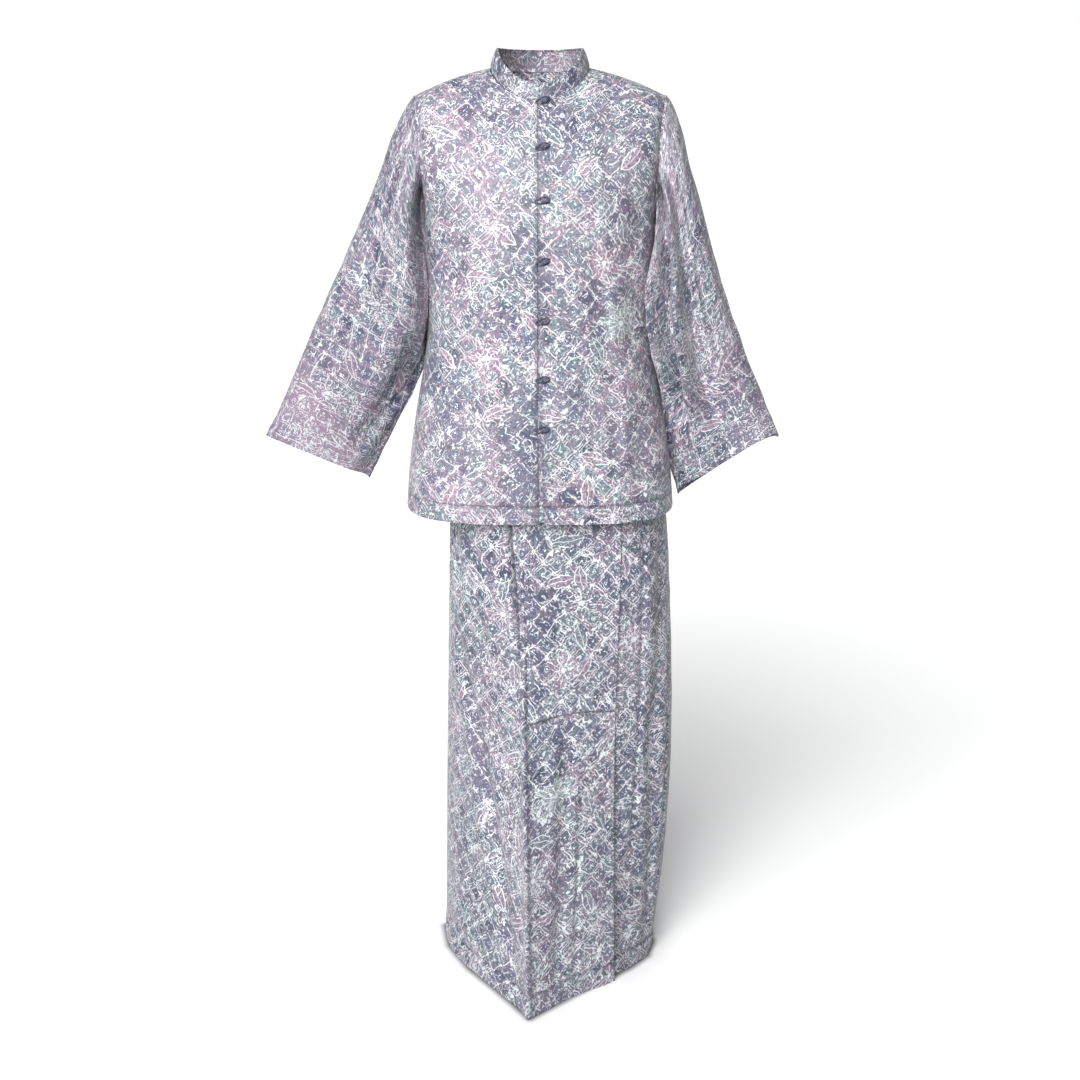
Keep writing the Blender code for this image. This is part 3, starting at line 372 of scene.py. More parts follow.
def clothMaterial(name, shift=(0, 0), turn=0.0, dim=0.0, lattice=0.42, rose=0.6):
    paint, tree, inputs = newMaterial(name)
    make, blend = shaderKit(tree, "make blend")
    flat = make("ShaderNodeUVMap", out="UV", uv_map="flatCut")
    placed = make("ShaderNodeMapping", {"Vector": flat, "Location": (*shift, 0),
                                        "Rotation": (0, 0, math.radians(turn))})
    colour = make("ShaderNodeGroup", {"Vector": placed, "Lattice": lattice, "Rose": rose}, out="Colour",
                  node_tree=batikPrint)
    # Painted shade: a piece that sits in shade is darkened towards the deep ink by its own amount, so one cloth gets
    # lit and shaded copies
    if dim:
        colour = blend(dim, colour, ink("deep"))
    # Painted shade: the cloth is darkened towards the deep ink along creases, turned edges and stitch lines, where
    # shade falls
    rubbed = make("ShaderNodeAttribute", out="Fac", attribute_name="pressed")
    tree.links.new(blend(rubbed, colour, ink("deep")), inputs["Base Color"])
    weave = make("ShaderNodeGroup", {"Vector": flat, "Pitch": clothFinish["pitch"]}, out="Height",
                 node_tree=satinWeave)
    tree.links.new(weave.node.outputs["Gloss"], inputs["Roughness"])
    tree.links.new(make("ShaderNodeBump", {"Height": weave, "Strength": clothFinish["bump"],
                                           "Distance": clothFinish["bumpDepth"]}), inputs["Normal"])
    for key, value in clothFinish["inputs"].items():
        inputs[key].default_value = value
    return paint


def threadMaterial(name, colour):
    paint, tree, inputs = newMaterial(name)
    make, blend = shaderKit(tree, "make blend")
    place = make("ShaderNodeTexCoord", out="Object")
    grain = make("ShaderNodeTexNoise", {"Vector": place, "Scale": 900.0, "Detail": 2.0})
    dark = tuple(c * 0.6 for c in colour)
    tree.links.new(blend(grain, (*dark, 1), (*colour, 1)), inputs["Base Color"])
    tree.links.new(make("ShaderNodeBump", {"Height": grain, "Strength": 0.4, "Distance": 0.0001}), inputs["Normal"])
    inputs["Roughness"].default_value = 0.6
    return paint


print("shaders built")

# The cut, as in the solids
top = {
    "neckFrontZ": -0.041, "neckBackZ": -0.008, "shoulderTipZ": -0.038, "underarmZ": -0.218, "hemZ": -0.640,
    "neckHalf": 0.072, "neckFrontY": -0.076, "neckBackY": 0.066, "shoulderHalf": 0.181, "shoulderRise": 0.004,
    "armX": 0.1700, "armBow": 0.006, "armFront": 0.058, "armBack": 0.052, "underlapHalf": 0.013,
    "neckShare": 0.40, "underarmShare": 0.37, "cloth": 0.0010, "hemStitch": 0.025,
}
torsoNames = ("z", "half", "front", "back", "square")
torsoRows = (
    (0.010, 0.171, 0.064, 0.058, 2.1), (-0.041, 0.171, 0.080, 0.074, 2.1), (-0.100, 0.171, 0.106, 0.096, 2.2),
    (-0.170, 0.171, 0.128, 0.108, 2.3), (-0.218, 0.170, 0.136, 0.108, 2.3), (-0.300, 0.169, 0.140, 0.102, 2.4),
    (-0.380, 0.170, 0.141, 0.100, 2.5), (-0.430, 0.176, 0.143, 0.104, 2.6), (-0.490, 0.187, 0.146, 0.112, 2.8),
    (-0.570, 0.199, 0.150, 0.122, 3.0), (-0.640, 0.205, 0.152, 0.128, 3.2),
)
# Folds: across and along at the upper end, the same at the lower end, half width, depth
frontFolds = (
    (-0.150, -0.150, -0.120, -0.420, 0.016, 0.0040), (-0.095, -0.330, -0.125, -0.600, 0.018, 0.0035),
    (-0.050, -0.420, -0.045, -0.640, 0.014, 0.0025), (0.135, -0.110, 0.128, -0.400, 0.014, 0.0050),
    (0.150, -0.360, 0.145, -0.640, 0.015, 0.0045), (0.070, -0.440, 0.085, -0.640, 0.016, 0.0030),
)
frontCreases = (
    (-0.118, -0.130, -0.113, -0.350, 0.008, 0.0024), (-0.072, -0.170, -0.058, -0.330, 0.010, 0.0016),
    (0.074, -0.200, 0.116, -0.600, 0.011, 0.0022), (0.100, -0.100, 0.104, -0.300, 0.009, 0.0018),
    (-0.150, -0.400, -0.166, -0.620, 0.010, 0.0026), (0.040, -0.500, 0.052, -0.640, 0.010, 0.0016),
    (-0.022, -0.300, -0.046, -0.440, 0.008, 0.0012), (0.150, -0.205, 0.095, -0.300, 0.009, 0.0022),
    (-0.148, -0.215, -0.090, -0.320, 0.009, 0.0022), (0.160, -0.250, 0.120, -0.420, 0.008, 0.0020),
    (-0.085, -0.470, -0.070, -0.620, 0.009, 0.0016), (0.112, -0.470, 0.104, -0.630, 0.008, 0.0018),
)
backFolds = (
    (-0.110, -0.120, -0.090, -0.420, 0.018, 0.0040), (0.105, -0.140, 0.120, -0.460, 0.018, 0.0040),
    (-0.040, -0.360, -0.055, -0.630, 0.018, 0.0035), (0.045, -0.300, 0.060, -0.600, 0.020, 0.0035),
)
backCreases = (
    (-0.130, -0.110, -0.118, -0.330, 0.009, 0.0026), (0.128, -0.120, 0.112, -0.350, 0.010, 0.0026),
    (-0.080, -0.330, -0.100, -0.600, 0.010, 0.0020), (0.094, -0.400, 0.088, -0.640, 0.010, 0.0020),
    (0.010, -0.420, -0.004, -0.640, 0.011, 0.0018), (-0.015, -0.120, 0.020, -0.230, 0.012, 0.0012),
    (-0.150, -0.260, -0.120, -0.400, 0.009, 0.0022), (0.152, -0.240, 0.125, -0.380, 0.009, 0.0022),
)
buttonLevels = (-0.0465, -0.103, -0.174, -0.257, -0.341, -0.425, -0.498)


def ease(value):
    value = np.clip(value, 0.0, 1.0)
    return value * value * (3 - 2 * value)


def hump(value, half):
    return np.exp(-(value / half) ** 2)


def turnedEdge(above, draw, half, stand):
    # The stitch line draws in, and the doubled cloth below it stands out
    return draw * hump(above, half) - stand * ease(-above / 0.003)


def columnsAt(names, rows, level):
    # Every named column at each level, by a smooth curve through the rows
    data = np.array(rows, float)
    if data[0, 0] > data[-1, 0]:
        data = data[::-1]
    keys = data[:, 0]
    level = np.clip(level, keys[0], keys[-1])
    i = np.clip(np.searchsorted(keys, level) - 1, 0, len(keys) - 2)
    low = np.maximum(np.arange(len(keys)) - 1, 0)
    high = np.minimum(np.arange(len(keys)) + 1, len(keys) - 1)
    slope = (data[high] - data[low]) / (keys[high] - keys[low])[:, None]
    h = (keys[i + 1] - keys[i])[..., None]
    f = (level - keys[i])[..., None] / h
    f2, f3 = f * f, f * f * f
    out = (2 * f3 - 3 * f2 + 1) * data[i] + (f3 - 2 * f2 + f) * slope[i] * h
    out += (3 * f2 - 2 * f3) * data[i + 1] + (f3 - f2) * slope[i + 1] * h
    return {name: out[..., k] for k, name in enumerate(names)}


def troughs(folds, across, along, wrap=0.0):
    # Each fold is a soft valley with low ridges beside it, fading at its ends
    total = np.zeros(np.broadcast(across, along).shape)
    for a0, l0, a1, l1, half, depth in folds:
        f = (along - l0) / (l1 - l0)
        off = across - (a0 + (a1 - a0) * np.clip(f, 0, 1) + 0.25 * half * np.sin(3.1 * f))
        if wrap:
            off = (off + wrap / 2) % wrap - wrap / 2
        ends = ease((f + 0.15) / 0.35) * ease((1.15 - f) / 0.35)
        q = off / half
        total += depth * ends * (np.exp(-q * q) - 0.35 * np.exp(-((np.abs(q) - 1.9) ** 2) * 1.6))
    return total


def ripple(across, along, size, seed):
    # Small uneven waves of the hanging cloth
    pick = np.random.default_rng(seed)
    total = np.zeros(np.broadcast(across, along).shape)
    for k in range(6):
        turn, length, start = pick.uniform(-0.9, 0.9), pick.uniform(0.035, 0.120), pick.uniform(0, 6.28)
        run = across * math.cos(turn) + along * math.sin(turn)
        side = along * math.cos(turn) - across * math.sin(turn)
        total += np.sin(run * fullTurn / length + start + 1.4 * np.sin(side * fullTurn / (length * 3.1) + start * 2))
    return size * total / 6


def armholeAt(z, front):
    middle = (top["shoulderTipZ"] + top["underarmZ"]) / 2
    half = (top["shoulderTipZ"] - top["underarmZ"]) / 2
    f = np.clip((z - middle) / half, -1, 1)
    bow = np.sqrt(np.maximum(0.0, 1 - f * f))
    deep = -top["armFront"] if front else top["armBack"]
    x = top["armX"] + (top["shoulderHalf"] - top["armX"]) * ((f + 1) / 2) ** 1.6 - top["armBow"] * bow
    return x, deep * bow


def neckAt(turn, front):
    a = turn * math.pi / 2
    deep = top["neckFrontY"] if front else top["neckBackY"]
    low = top["neckFrontZ"] if front else top["neckBackZ"]
    return top["neckHalf"] * np.sin(a), deep * np.cos(a), low * np.maximum(np.cos(a), 0) ** 1.5


def torsoSurface(side, s, t, front, edgeX=0.0):
    # s runs from the middle to the side, t from the top edge to the hem
    s, t = np.broadcast_arrays(np.asarray(s, float), np.asarray(t, float))
    share, under = top["neckShare"], top["underarmShare"]
    inNeck = s <= share
    nx, ny, nz = neckAt(np.clip(s / share, 0, 1), front)
    f = np.clip((s - share) / (1 - share), 0, 1)
    ex, ey, ez = neckAt(np.ones_like(s), front)
    topX = np.where(inNeck, nx, ex * (1 - f) + top["shoulderHalf"] * f)
    topY = np.where(inNeck, ny, ey * (1 - f))
    ridge = ez * (1 - f) + top["shoulderTipZ"] * f + top["shoulderRise"] * np.sin(math.pi * f)
    topZ = np.where(inNeck, nz, ridge)
    upper = t < under
    z = np.where(upper, topZ + (top["underarmZ"] - topZ) * (t / under),
                 top["underarmZ"] + (top["hemZ"] - top["underarmZ"]) * (t - under) / (1 - under))
    row = columnsAt(torsoNames, torsoRows, z)
    level = np.where(upper, top["shoulderTipZ"] + (top["underarmZ"] - top["shoulderTipZ"]) * (t / under), z)
    ax, ay = armholeAt(level, front)
    endX, endY = np.where(upper, ax, row["half"]), np.where(upper, ay, 0.0)
    middle = (top["shoulderTipZ"] + top["underarmZ"]) / 2
    falls = np.clip((middle - level) / 0.135, 0, 1)
    armDeep = -top["armFront"] if front else top["armBack"]
    atSeam = ease((s - 0.80) / 0.20)
    endY = np.where(level < middle, endY * atSeam + armDeep * np.cos(math.pi / 2 * falls) ** 2 * (1 - atSeam), endY)
    deep = -row["front"] if front else row["back"]
    power = 2.0 / row["square"]
    across = np.sin(s * math.pi / 2) ** power
    ahead = np.where(s < 1, np.maximum(np.cos(s * math.pi / 2), 0) ** power, 0.0)
    x, y = endX * across, endY + (deep - endY) * ahead
    drop = np.maximum(topZ - z, 0)
    n = np.clip(s / share, 0, 1)
    past = ease((s - share) / (1 - share))
    tall = np.where(inNeck, 0.060 + 0.060 * n, 0.120 - 0.030 * past)
    powerY = np.where(inNeck, 0.95 - 0.42 * ease(n), 0.53)
    bend = 1 - (1 - np.minimum(drop / tall, 1)) ** 2
    rise, shift = bend ** powerY, bend ** 0.6
    x = topX + (x - topX) * shift + (endX - top["shoulderHalf"]) * (1 - shift) * past
    y = topY + (y - topY) * rise + endY * (1 - rise) * past
    # Folds, creases, small waves and puckers at the knots
    sx = side * x
    dent = troughs(frontFolds if front else backFolds, sx, z)
    dent = dent + troughs(frontCreases if front else backCreases, sx, z)
    dent = dent + ripple(sx, z, 0.0016, 3 if front else 5)
    clear = ease((1 - s) / 0.12) * ease((drop - 0.02) / 0.06)
    dent = dent * clear * ahead
    if front:
        for level in buttonLevels:
            for slant, length in ((0.25, 0.024), (-0.35, 0.018)):
                away = np.abs(sx - 0.003)
                off = (z - level) - slant * away
                dent = dent + 0.0011 * hump(off, 0.0035) * hump(away, length) * ease((drop - 0.006) / 0.02)
    dent = dent + turnedEdge(z - (top["hemZ"] + top["hemStitch"]), 0.0026, 0.0026, 0.0014)
    # Side and armhole seams draw in a little
    dent = dent + 0.0003 * hump((1 - s) * 0.30, 0.0035) * ahead
    y = y + (1 if front else -1) * dent
    x = x + np.asarray(edgeX) * np.maximum(0.0, 1 - s / share)
    return np.stack((side * x, y, z), axis=-1)


# Rings from the armhole to the cuff: the outer and the inner edge, the depth, and the lap beside the body
sleeveNames = ("v", "xo", "zo", "xi", "zi", "y", "deep", "square", "lapX", "lapY", "rise")
sleeves = {
    "sleeve_left": {
        "side": 1,
        "rows": (
            (0.00, 0.1810, -0.038, 0.1700, -0.218, 0.000, 0.055, 2.0, 0.000, 0.000, 0.000),
            (0.12, 0.2010, -0.092, 0.1745, -0.262, -0.003, 0.064, 2.0, 0.014, 0.014, 0.000),
            (0.28, 0.2330, -0.184, 0.1765, -0.330, -0.006, 0.070, 2.1, 0.034, 0.036, 0.000),
            (0.45, 0.2610, -0.280, 0.1795, -0.405, -0.010, 0.068, 2.2, 0.030, 0.036, 0.000),
            (0.62, 0.2920, -0.370, 0.1890, -0.480, -0.014, 0.058, 2.3, 0.016, 0.016, 0.000),
            (0.80, 0.3270, -0.456, 0.2015, -0.556, -0.018, 0.046, 2.4, 0.004, 0.006, 0.008),
            (1.00, 0.3630, -0.540, 0.2240, -0.632, -0.022, 0.037, 2.5, 0.000, 0.000, 0.026),
        ),
        "folds": (
            (0.304, 0.02, 0.304, 0.32, 0.019, 0.0330), (0.304, 0.26, 0.338, 0.74, 0.020, 0.0360),
            (0.232, 0.15, 0.258, 0.82, 0.019, 0.0120), (0.400, 0.30, 0.345, 0.98, 0.028, 0.0060),
            (0.180, 0.10, 0.200, 0.55, 0.035, 0.0045), (0.260, 0.55, 0.220, 1.00, 0.035, 0.0040),
            (0.680, 0.05, 0.640, 0.70, 0.035, 0.0080), (0.800, 0.25, 0.780, 0.95, 0.035, 0.0050),
        ),
        "creases": (
            (0.345, 0.10, 0.372, 0.50, 0.012, 0.0045), (0.440, 0.30, 0.380, 0.70, 0.012, 0.0040),
            (0.240, 0.30, 0.250, 0.75, 0.014, 0.0022), (0.130, 0.20, 0.150, 0.60, 0.014, 0.0018),
            (0.600, 0.20, 0.590, 0.60, 0.014, 0.0030), (0.740, 0.30, 0.720, 0.80, 0.014, 0.0026),
            (0.060, 0.45, 0.080, 0.85, 0.014, 0.0018), (0.880, 0.30, 0.890, 0.80, 0.014, 0.0022),
        ),
        "shoulder": 0.0060, "tuck": (0.290, 0.006), "close": (0.56, 1.16, 0.0125), "seed": 11,
        "print": {"shift": (0.41, 0.23), "turn": 45.0, "dim": 0.02, "lattice": 0.66, "rose": 0.8},
    },
    "sleeve_right": {
        "side": -1,
        "rows": (
            (0.00, 0.1810, -0.038, 0.1700, -0.218, 0.000, 0.055, 2.0, 0.000, 0.000, 0.000),
            (0.12, 0.2110, -0.094, 0.1745, -0.262, -0.003, 0.063, 2.0, 0.017, 0.017, 0.000),
            (0.28, 0.2520, -0.190, 0.1750, -0.328, -0.006, 0.066, 2.1, 0.033, 0.034, 0.000),
            (0.45, 0.2940, -0.280, 0.1785, -0.390, -0.010, 0.064, 2.2, 0.034, 0.034, 0.000),
            (0.62, 0.3310, -0.358, 0.1900, -0.450, -0.014, 0.056, 2.3, 0.020, 0.018, 0.000),
            (0.80, 0.3720, -0.446, 0.2210, -0.526, -0.018, 0.046, 2.4, 0.002, 0.002, 0.004),
            (1.00, 0.4160, -0.539, 0.2620, -0.605, -0.022, 0.037, 2.5, 0.000, 0.000, 0.012),
        ),
        "folds": (
            (0.320, 0.03, 0.380, 0.48, 0.032, 0.0100), (0.215, 0.08, 0.270, 0.55, 0.034, 0.0060),
            (0.390, 0.40, 0.330, 0.92, 0.030, 0.0070), (0.150, 0.45, 0.170, 0.95, 0.036, 0.0040),
            (0.195, 0.06, 0.165, 0.40, 0.028, 0.0095),
            (0.660, 0.05, 0.640, 0.66, 0.035, 0.0080), (0.780, 0.20, 0.770, 0.90, 0.036, 0.0050),
        ),
        "creases": (
            (0.335, 0.08, 0.392, 0.46, 0.013, 0.0050), (0.225, 0.16, 0.262, 0.48, 0.013, 0.0030),
            (0.420, 0.48, 0.360, 0.86, 0.012, 0.0034), (0.290, 0.55, 0.270, 0.95, 0.014, 0.0020),
            (0.600, 0.20, 0.585, 0.60, 0.014, 0.0030), (0.730, 0.30, 0.715, 0.80, 0.014, 0.0026),
            (0.080, 0.30, 0.100, 0.70, 0.014, 0.0018), (0.880, 0.30, 0.890, 0.80, 0.014, 0.0022),
        ),
        "shoulder": 0.0025, "tuck": (0.268, 0.040), "close": (0.40, 0.78, 0.0045), "seed": 12,
        "print": {"shift": (0.17, 0.61), "turn": 45.0, "dim": 0.24, "lattice": 0.66, "rose": 2.0},
    },
}


def sleeveSurface(spec, turn, v):
    turn, v = np.broadcast_arrays(np.asarray(turn, float) % 1.0, np.asarray(v, float))
    row = columnsAt(sleeveNames, spec["rows"], v)
    outer = np.stack((row["xo"], 0 * v, row["zo"]), -1)
    inner = np.stack((row["xi"], 0 * v, row["zi"]), -1)
    centre, reach = (outer + inner) / 2, outer - inner
    half = np.linalg.norm(reach, axis=-1) / 2
    a = turn * 2 * math.pi
    c, s = np.cos(a), np.sin(a)
    power = 2.0 / row["square"]
    p = centre + reach / 2 * (np.sign(c) * np.abs(c) ** power)[..., None]
    p[..., 1] = row["y"] - row["deep"] * np.sign(s) * np.abs(s) ** power
    share = hump(turn - 0.36, 0.075)
    p[..., 0] -= row["lapX"] * share
    p[..., 1] -= row["lapY"] * share
    p[..., 2] += row["rise"] * np.maximum(0.0, s) ** 0.8
    middle = (top["shoulderTipZ"] + top["underarmZ"]) / 2
    z = middle + (top["shoulderTipZ"] - top["underarmZ"]) / 2 * c
    fx, fy = armholeAt(z, True)
    bx, by = armholeAt(z, False)
    front = turn <= 0.5
    ring = np.stack((np.where(front, fx, bx), np.where(front, fy, by), z), -1)
    fade = np.clip(v / 0.12, 0, 1)[..., None]
    p = ring * (1 - fade) + p * fade
    dent = troughs(spec["folds"], turn, v, 1.0) + troughs(spec["creases"], turn, v, 1.0)
    dent = dent + ripple(np.cos(a) * 0.07 + 0.02 * np.sin(2 * a), v * 0.5 + 0.03 * s, 0.0018, spec["seed"])
    # Beside the body the sleeve falls back behind the front's edge
    start, deep = spec["tuck"]
    along = ease((v - 0.01) / 0.06) * ease((0.80 - v) / 0.22)
    start = start + 0.024 * ease((v - 0.10) / 0.30)
    tuck = deep * ease((turn - start) / 0.050) * ease((0.50 - turn) / 0.09)
    p[..., 1] += (tuck - 0.005 * hump(turn - start + 0.02, 0.03)) * along
    # Lower down its inner edge rolls back, and hangs close to the body
    p[..., 1] += 0.010 * hump(turn - 0.42, 0.05) * ease((v - 0.50) / 0.20)
    first, last, shift = spec["close"]
    p[..., 0] -= shift * hump(turn - 0.47, 0.12) * ease((v - first) / 0.12) * ease((last - v) / 0.10)
    near = ease((v - 0.01) / 0.08)
    p[..., 0] += 0.0001 + 0.0014 * np.minimum(v / 0.07, 1.0)
    inward = np.stack((centre[..., 0], row["y"], centre[..., 2]), -1) - p
    inward /= np.maximum(np.linalg.norm(inward, axis=-1, keepdims=True), 1e-9)
    seam = 0.0003 * hump(v * 0.55, 0.0035)
    hem = turnedEdge((1 - v) * 0.55 - 0.022, 0.0007, 0.0016, 0.0005)
    p = p + inward * (dent * near + seam + hem)[..., None]
    # The shoulder's outer curve stands a little fuller past the seam
    fuller = spec["shoulder"] * hump(v - 0.10, 0.07) * np.maximum(c, 0.0) ** 2
    p[..., 0] += 0.7 * fuller
    p[..., 2] += 0.7 * fuller
    p[..., 0] *= spec["side"]
    return p


skirt = {"hemZ": -1.420, "cloth": 0.0014, "gap": 0.0004, "band": 0.0022, "liftHem": 0.0120, "liftTop": 0.0004,
         "hemStitch": 0.030, "packCrease": -0.950}
# Rings from the waist to the hem: left side, crease, wrap edge, right side and back
skirtNames = ("z", "lx", "ly", "cx", "cy", "ex", "ey", "rx", "ry", "bx", "by")
skirtRows = (
    (-0.400, -0.128, 0.010, -0.036, -0.106, 0.095, -0.094, 0.148, 0.010, 0.012, 0.084),
    (-0.472, -0.131, 0.010, -0.038, -0.114, 0.102, -0.100, 0.158, 0.008, 0.015, 0.094),
    (-0.560, -0.137, 0.010, -0.037, -0.123, 0.112, -0.108, 0.181, 0.004, 0.020, 0.107),
    (-0.655, -0.141, 0.012, -0.036, -0.129, 0.118, -0.112, 0.196, -0.002, 0.026, 0.118),
    (-0.763, -0.144, 0.013, -0.029, -0.143, 0.118, -0.117, 0.204, -0.008, 0.030, 0.120),
    (-0.935, -0.149, 0.014, -0.024, -0.168, 0.114, -0.121, 0.212, -0.014, 0.030, 0.122),
    (-1.106, -0.154, 0.015, -0.021, -0.197, 0.112, -0.126, 0.213, -0.020, 0.028, 0.122),
    (-1.283, -0.158, 0.016, -0.019, -0.227, 0.110, -0.133, 0.203, -0.026, 0.022, 0.122),
    (-1.420, -0.161, 0.016, -0.016, -0.249, 0.109, -0.140, 0.187, -0.031, 0.014, 0.122),
)
skirtFolds = (
    (0.30, -0.820, 0.78, -1.240, 0.060, 0.0060), (0.55, -1.060, 0.90, -1.400, 0.050, 0.0050),
    (0.25, -0.480, 0.40, -0.780, 0.060, 0.0030), (1.45, -0.980, 1.35, -1.360, 0.070, 0.0040),
    (2.60, -0.660, 2.50, -1.000, 0.080, 0.0040), (2.45, -0.980, 2.60, -1.380, 0.080, 0.0050),
    (3.40, -0.560, 3.55, -1.150, 0.090, 0.0050), (3.95, -0.700, 4.05, -1.380, 0.080, 0.0060),
    (4.55, -0.620, 4.40, -1.260, 0.090, 0.0050),
)
skirtCreases = (
    (0.18, -0.660, 0.26, -1.000, 0.030, 0.0018), (0.62, -0.700, 0.70, -0.960, 0.030, 0.0012),
    (1.30, -0.660, 1.36, -0.900, 0.030, 0.0010), (1.62, -1.100, 1.56, -1.400, 0.030, 0.0018),
    (2.30, -0.660, 2.28, -1.150, 0.030, 0.0022), (2.74, -0.800, 2.70, -1.300, 0.030, 0.0020),
    (3.25, -0.640, 3.28, -1.300, 0.035, 0.0022), (3.72, -0.700, 3.80, -1.360, 0.035, 0.0022),
    (4.30, -0.640, 4.22, -1.200, 0.035, 0.0022), (4.75, -0.700, 4.70, -1.360, 0.035, 0.0020),
)


def hermite(p0, p1, m0, m1, f):
    f = f[..., None]
    f2, f3 = f * f, f * f * f
    return (2 * f3 - 3 * f2 + 1) * p0 + (f3 - 2 * f2 + f) * m0 + (3 * f2 - 2 * f3) * p1 + (f3 - f2) * m1


def skirtPlan(q, z):
    # q counts the stretches round: 0 left side, 1 crease, 2 wrap edge, 3 right side, 3 to 5 the back
    q, z = np.broadcast_arrays(np.asarray(q, float), np.asarray(z, float))
    row = columnsAt(skirtNames, skirtRows, z)
    left, crease, edge, right, back = (np.stack((row[k + "x"], row[k + "y"]), -1) for k in "lcerb")
    sharp = ease((-0.62 - z) / 0.40)[..., None]

    def unit(v):
        return v / np.maximum(np.linalg.norm(v, axis=-1, keepdims=True), 1e-12)

    def span(a, b):
        return np.linalg.norm(b - a, axis=-1, keepdims=True)

    ahead, forward, out = np.array((1.0, 0.0)), np.array((0.0, 1.0)), np.array((0.15, 0.10))
    r0, r1, r2 = span(left, crease), span(crease, edge), span(edge, right)
    run0, run1 = unit(crease - left), unit(edge - crease)
    one = hermite(left, crease, -forward * r0 * (1.45 - 0.35 * sharp),
                  unit(ahead * (1 - sharp) + run0 * sharp) * r0 * (1.0 + 0.25 * (1 - sharp)), q)
    two = hermite(crease, edge, unit(ahead * (1 - sharp) + run1 * sharp) * r1, unit(run1 + out) * r1, q - 1)
    three = hermite(edge, right, unit(run1 + out) * r2 * 1.1, forward * r2 * 1.35, q - 2)

    def quarter(side, share):
        # A rounded corner of the back, from one side to the middle
        a = share * math.pi / 2
        c, s = (np.maximum(turned, 0)[..., None] ** (2.0 / 2.5) for turned in (np.cos(a), np.sin(a)))
        x = back[..., :1] + (side - back)[..., :1] * c
        return np.concatenate((x, side[..., 1:] + (back - side)[..., 1:] * s), -1)

    four, five = quarter(right, np.clip(q - 3, 0, 1)), quarter(left, 1 - np.clip(q - 4, 0, 1))
    q = q[..., None]
    return np.where(q <= 1, one, np.where(q <= 2, two, np.where(q <= 3, three, np.where(q <= 4, four, five))))


def packingCrease(q, z):
    # Height over the level crease, which waves a little
    return z - skirt["packCrease"] - 0.004 * np.sin(q * 5.0)


def skirtSurface(q, z, out=0.0, wrapPanel=False):
    q, z = np.broadcast_arrays(np.asarray(q, float), np.asarray(z, float))
    p = skirtPlan(q, z)
    near = np.abs(q - 1.0) < 0.06
    low = np.where(near, q - 0.05, np.maximum(q - 2e-3, 0.0))
    high = np.where(near, q + 0.05, np.minimum(q + 2e-3, 4.9999))
    t = skirtPlan(high, z) - skirtPlan(low, z)
    t /= np.maximum(np.linalg.norm(t, axis=-1, keepdims=True), 1e-12)
    n = np.stack((t[..., 1], -t[..., 0]), -1)
    dent = troughs(skirtFolds, q, z) + troughs(skirtCreases, q, z) + ripple(q * 0.13, z, 0.0014, 21)
    keep = ease(np.abs(q - 1.0) / 0.18) * ease(np.abs(q - 2.0) / 0.14)
    keep = keep * ease(np.abs(q - 3.0) / 0.12) * ease(np.minimum(q, 5 - q) / 0.12)
    dent = dent * keep * ease((-0.46 - z) / 0.05)
    if wrapPanel:
        # Two pressed lines beside the crease, the crease's own sharp edge, and the level crease from packing
        first, pressed, second = (q - 0.955) * 0.145, (q - 1.0) * 0.148, (q - 1.045) * 0.150
        ledge = 0.0085 * hump(first - 0.0036, 0.0044) - 0.0044 * hump(first + 0.0040, 0.0044)
        dent = dent + ledge * ease((z + 0.90) / 0.10)
        dent = dent - 0.0048 * hump(pressed, 0.0044) * ease((-0.84 - z) / 0.12)
        dent = dent + 0.0034 * hump(second, 0.0026) * ease((-0.68 - z) / 0.05) * ease((z + 0.98) / 0.08)
        pack = packingCrease(q, z)
        roll = 0.0048 * hump(pack + 0.0045, 0.0042) - 0.0048 * hump(pack - 0.0045, 0.0048)
        dent = dent + roll * ease((q - 1.0) / 0.08) * ease((2.03 - q) / 0.10)
        # The free edge is turned and sewn
        dent = dent + turnedEdge((2.02 - q) * 0.135 - 0.012, 0.0006, 0.0016, 0.0004)
    dent = dent + turnedEdge(z - (skirt["hemZ"] + skirt["hemStitch"]), 0.0026, 0.0030, 0.0018)
    for seam in (0.0, 3.0, 5.0):
        dent = dent + 0.0012 * hump((q - seam) * 0.16, 0.0035)
    spot = p + n * (out - dent)[..., None]
    return np.concatenate((spot, z[..., None]), -1)


def wrapMarks(q, z):
    # Painted shade: thin dark lines along the pressed folds, the packing crease, the free edge and the hem's stitch
    # line
    upper = hump((q - 0.968) * 0.145, 0.0015) * ease((z + 0.93) / 0.06)
    lower = hump((q - 1.022) * 0.148, 0.0017) * ease((-0.84 - z) / 0.10)
    pack = hump(packingCrease(q, z), 0.0017) * ease((q - 1.0) / 0.08) * ease((2.03 - q) / 0.08)
    edge = ease((q - 2.008) / 0.008)
    return np.clip(0.62 * np.maximum(upper, pack) + 0.50 * lower + 0.60 * edge + hemMarks(q, z), 0.0, 0.75)


def hemMarks(q, z):
    # Painted shade: a thin dark line along the hem's stitch groove
    return 0.45 * hump(z - skirt["hemZ"] - skirt["hemStitch"], 0.0020) + 0 * q


def frontMarks(s, t):
    # Painted shade: darker lines along the opening edge and the hem's stitch line
    under = top["underarmShare"]
    level = top["underarmZ"] + (top["hemZ"] - top["underarmZ"]) * (t - under) / (1 - under)
    return np.clip(0.45 * hump(s, 0.009) + 0.45 * hump(level - top["hemZ"] - top["hemStitch"], 0.0020), 0.0, 0.6)


def wrapOffset(q, z):
    over = ease((q - 0.60) / 0.30)
    lift = skirt["liftTop"] + (skirt["liftHem"] - skirt["liftTop"]) * ease((-0.95 - z) / 0.47)
    return over * (skirt["cloth"] + skirt["gap"]) + lift * ease((q - 1.45) / 0.55)


# Making the pieces
def joinPiece(name, mesh, material, slot, node=None):
    piece = bpy.data.objects.new(name, mesh)
    scene.collection.objects.link(piece)
    mesh.materials.clear()
    mesh.materials.append(material)
    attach(piece, "root")
    if node:
        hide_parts(node)
    return piece


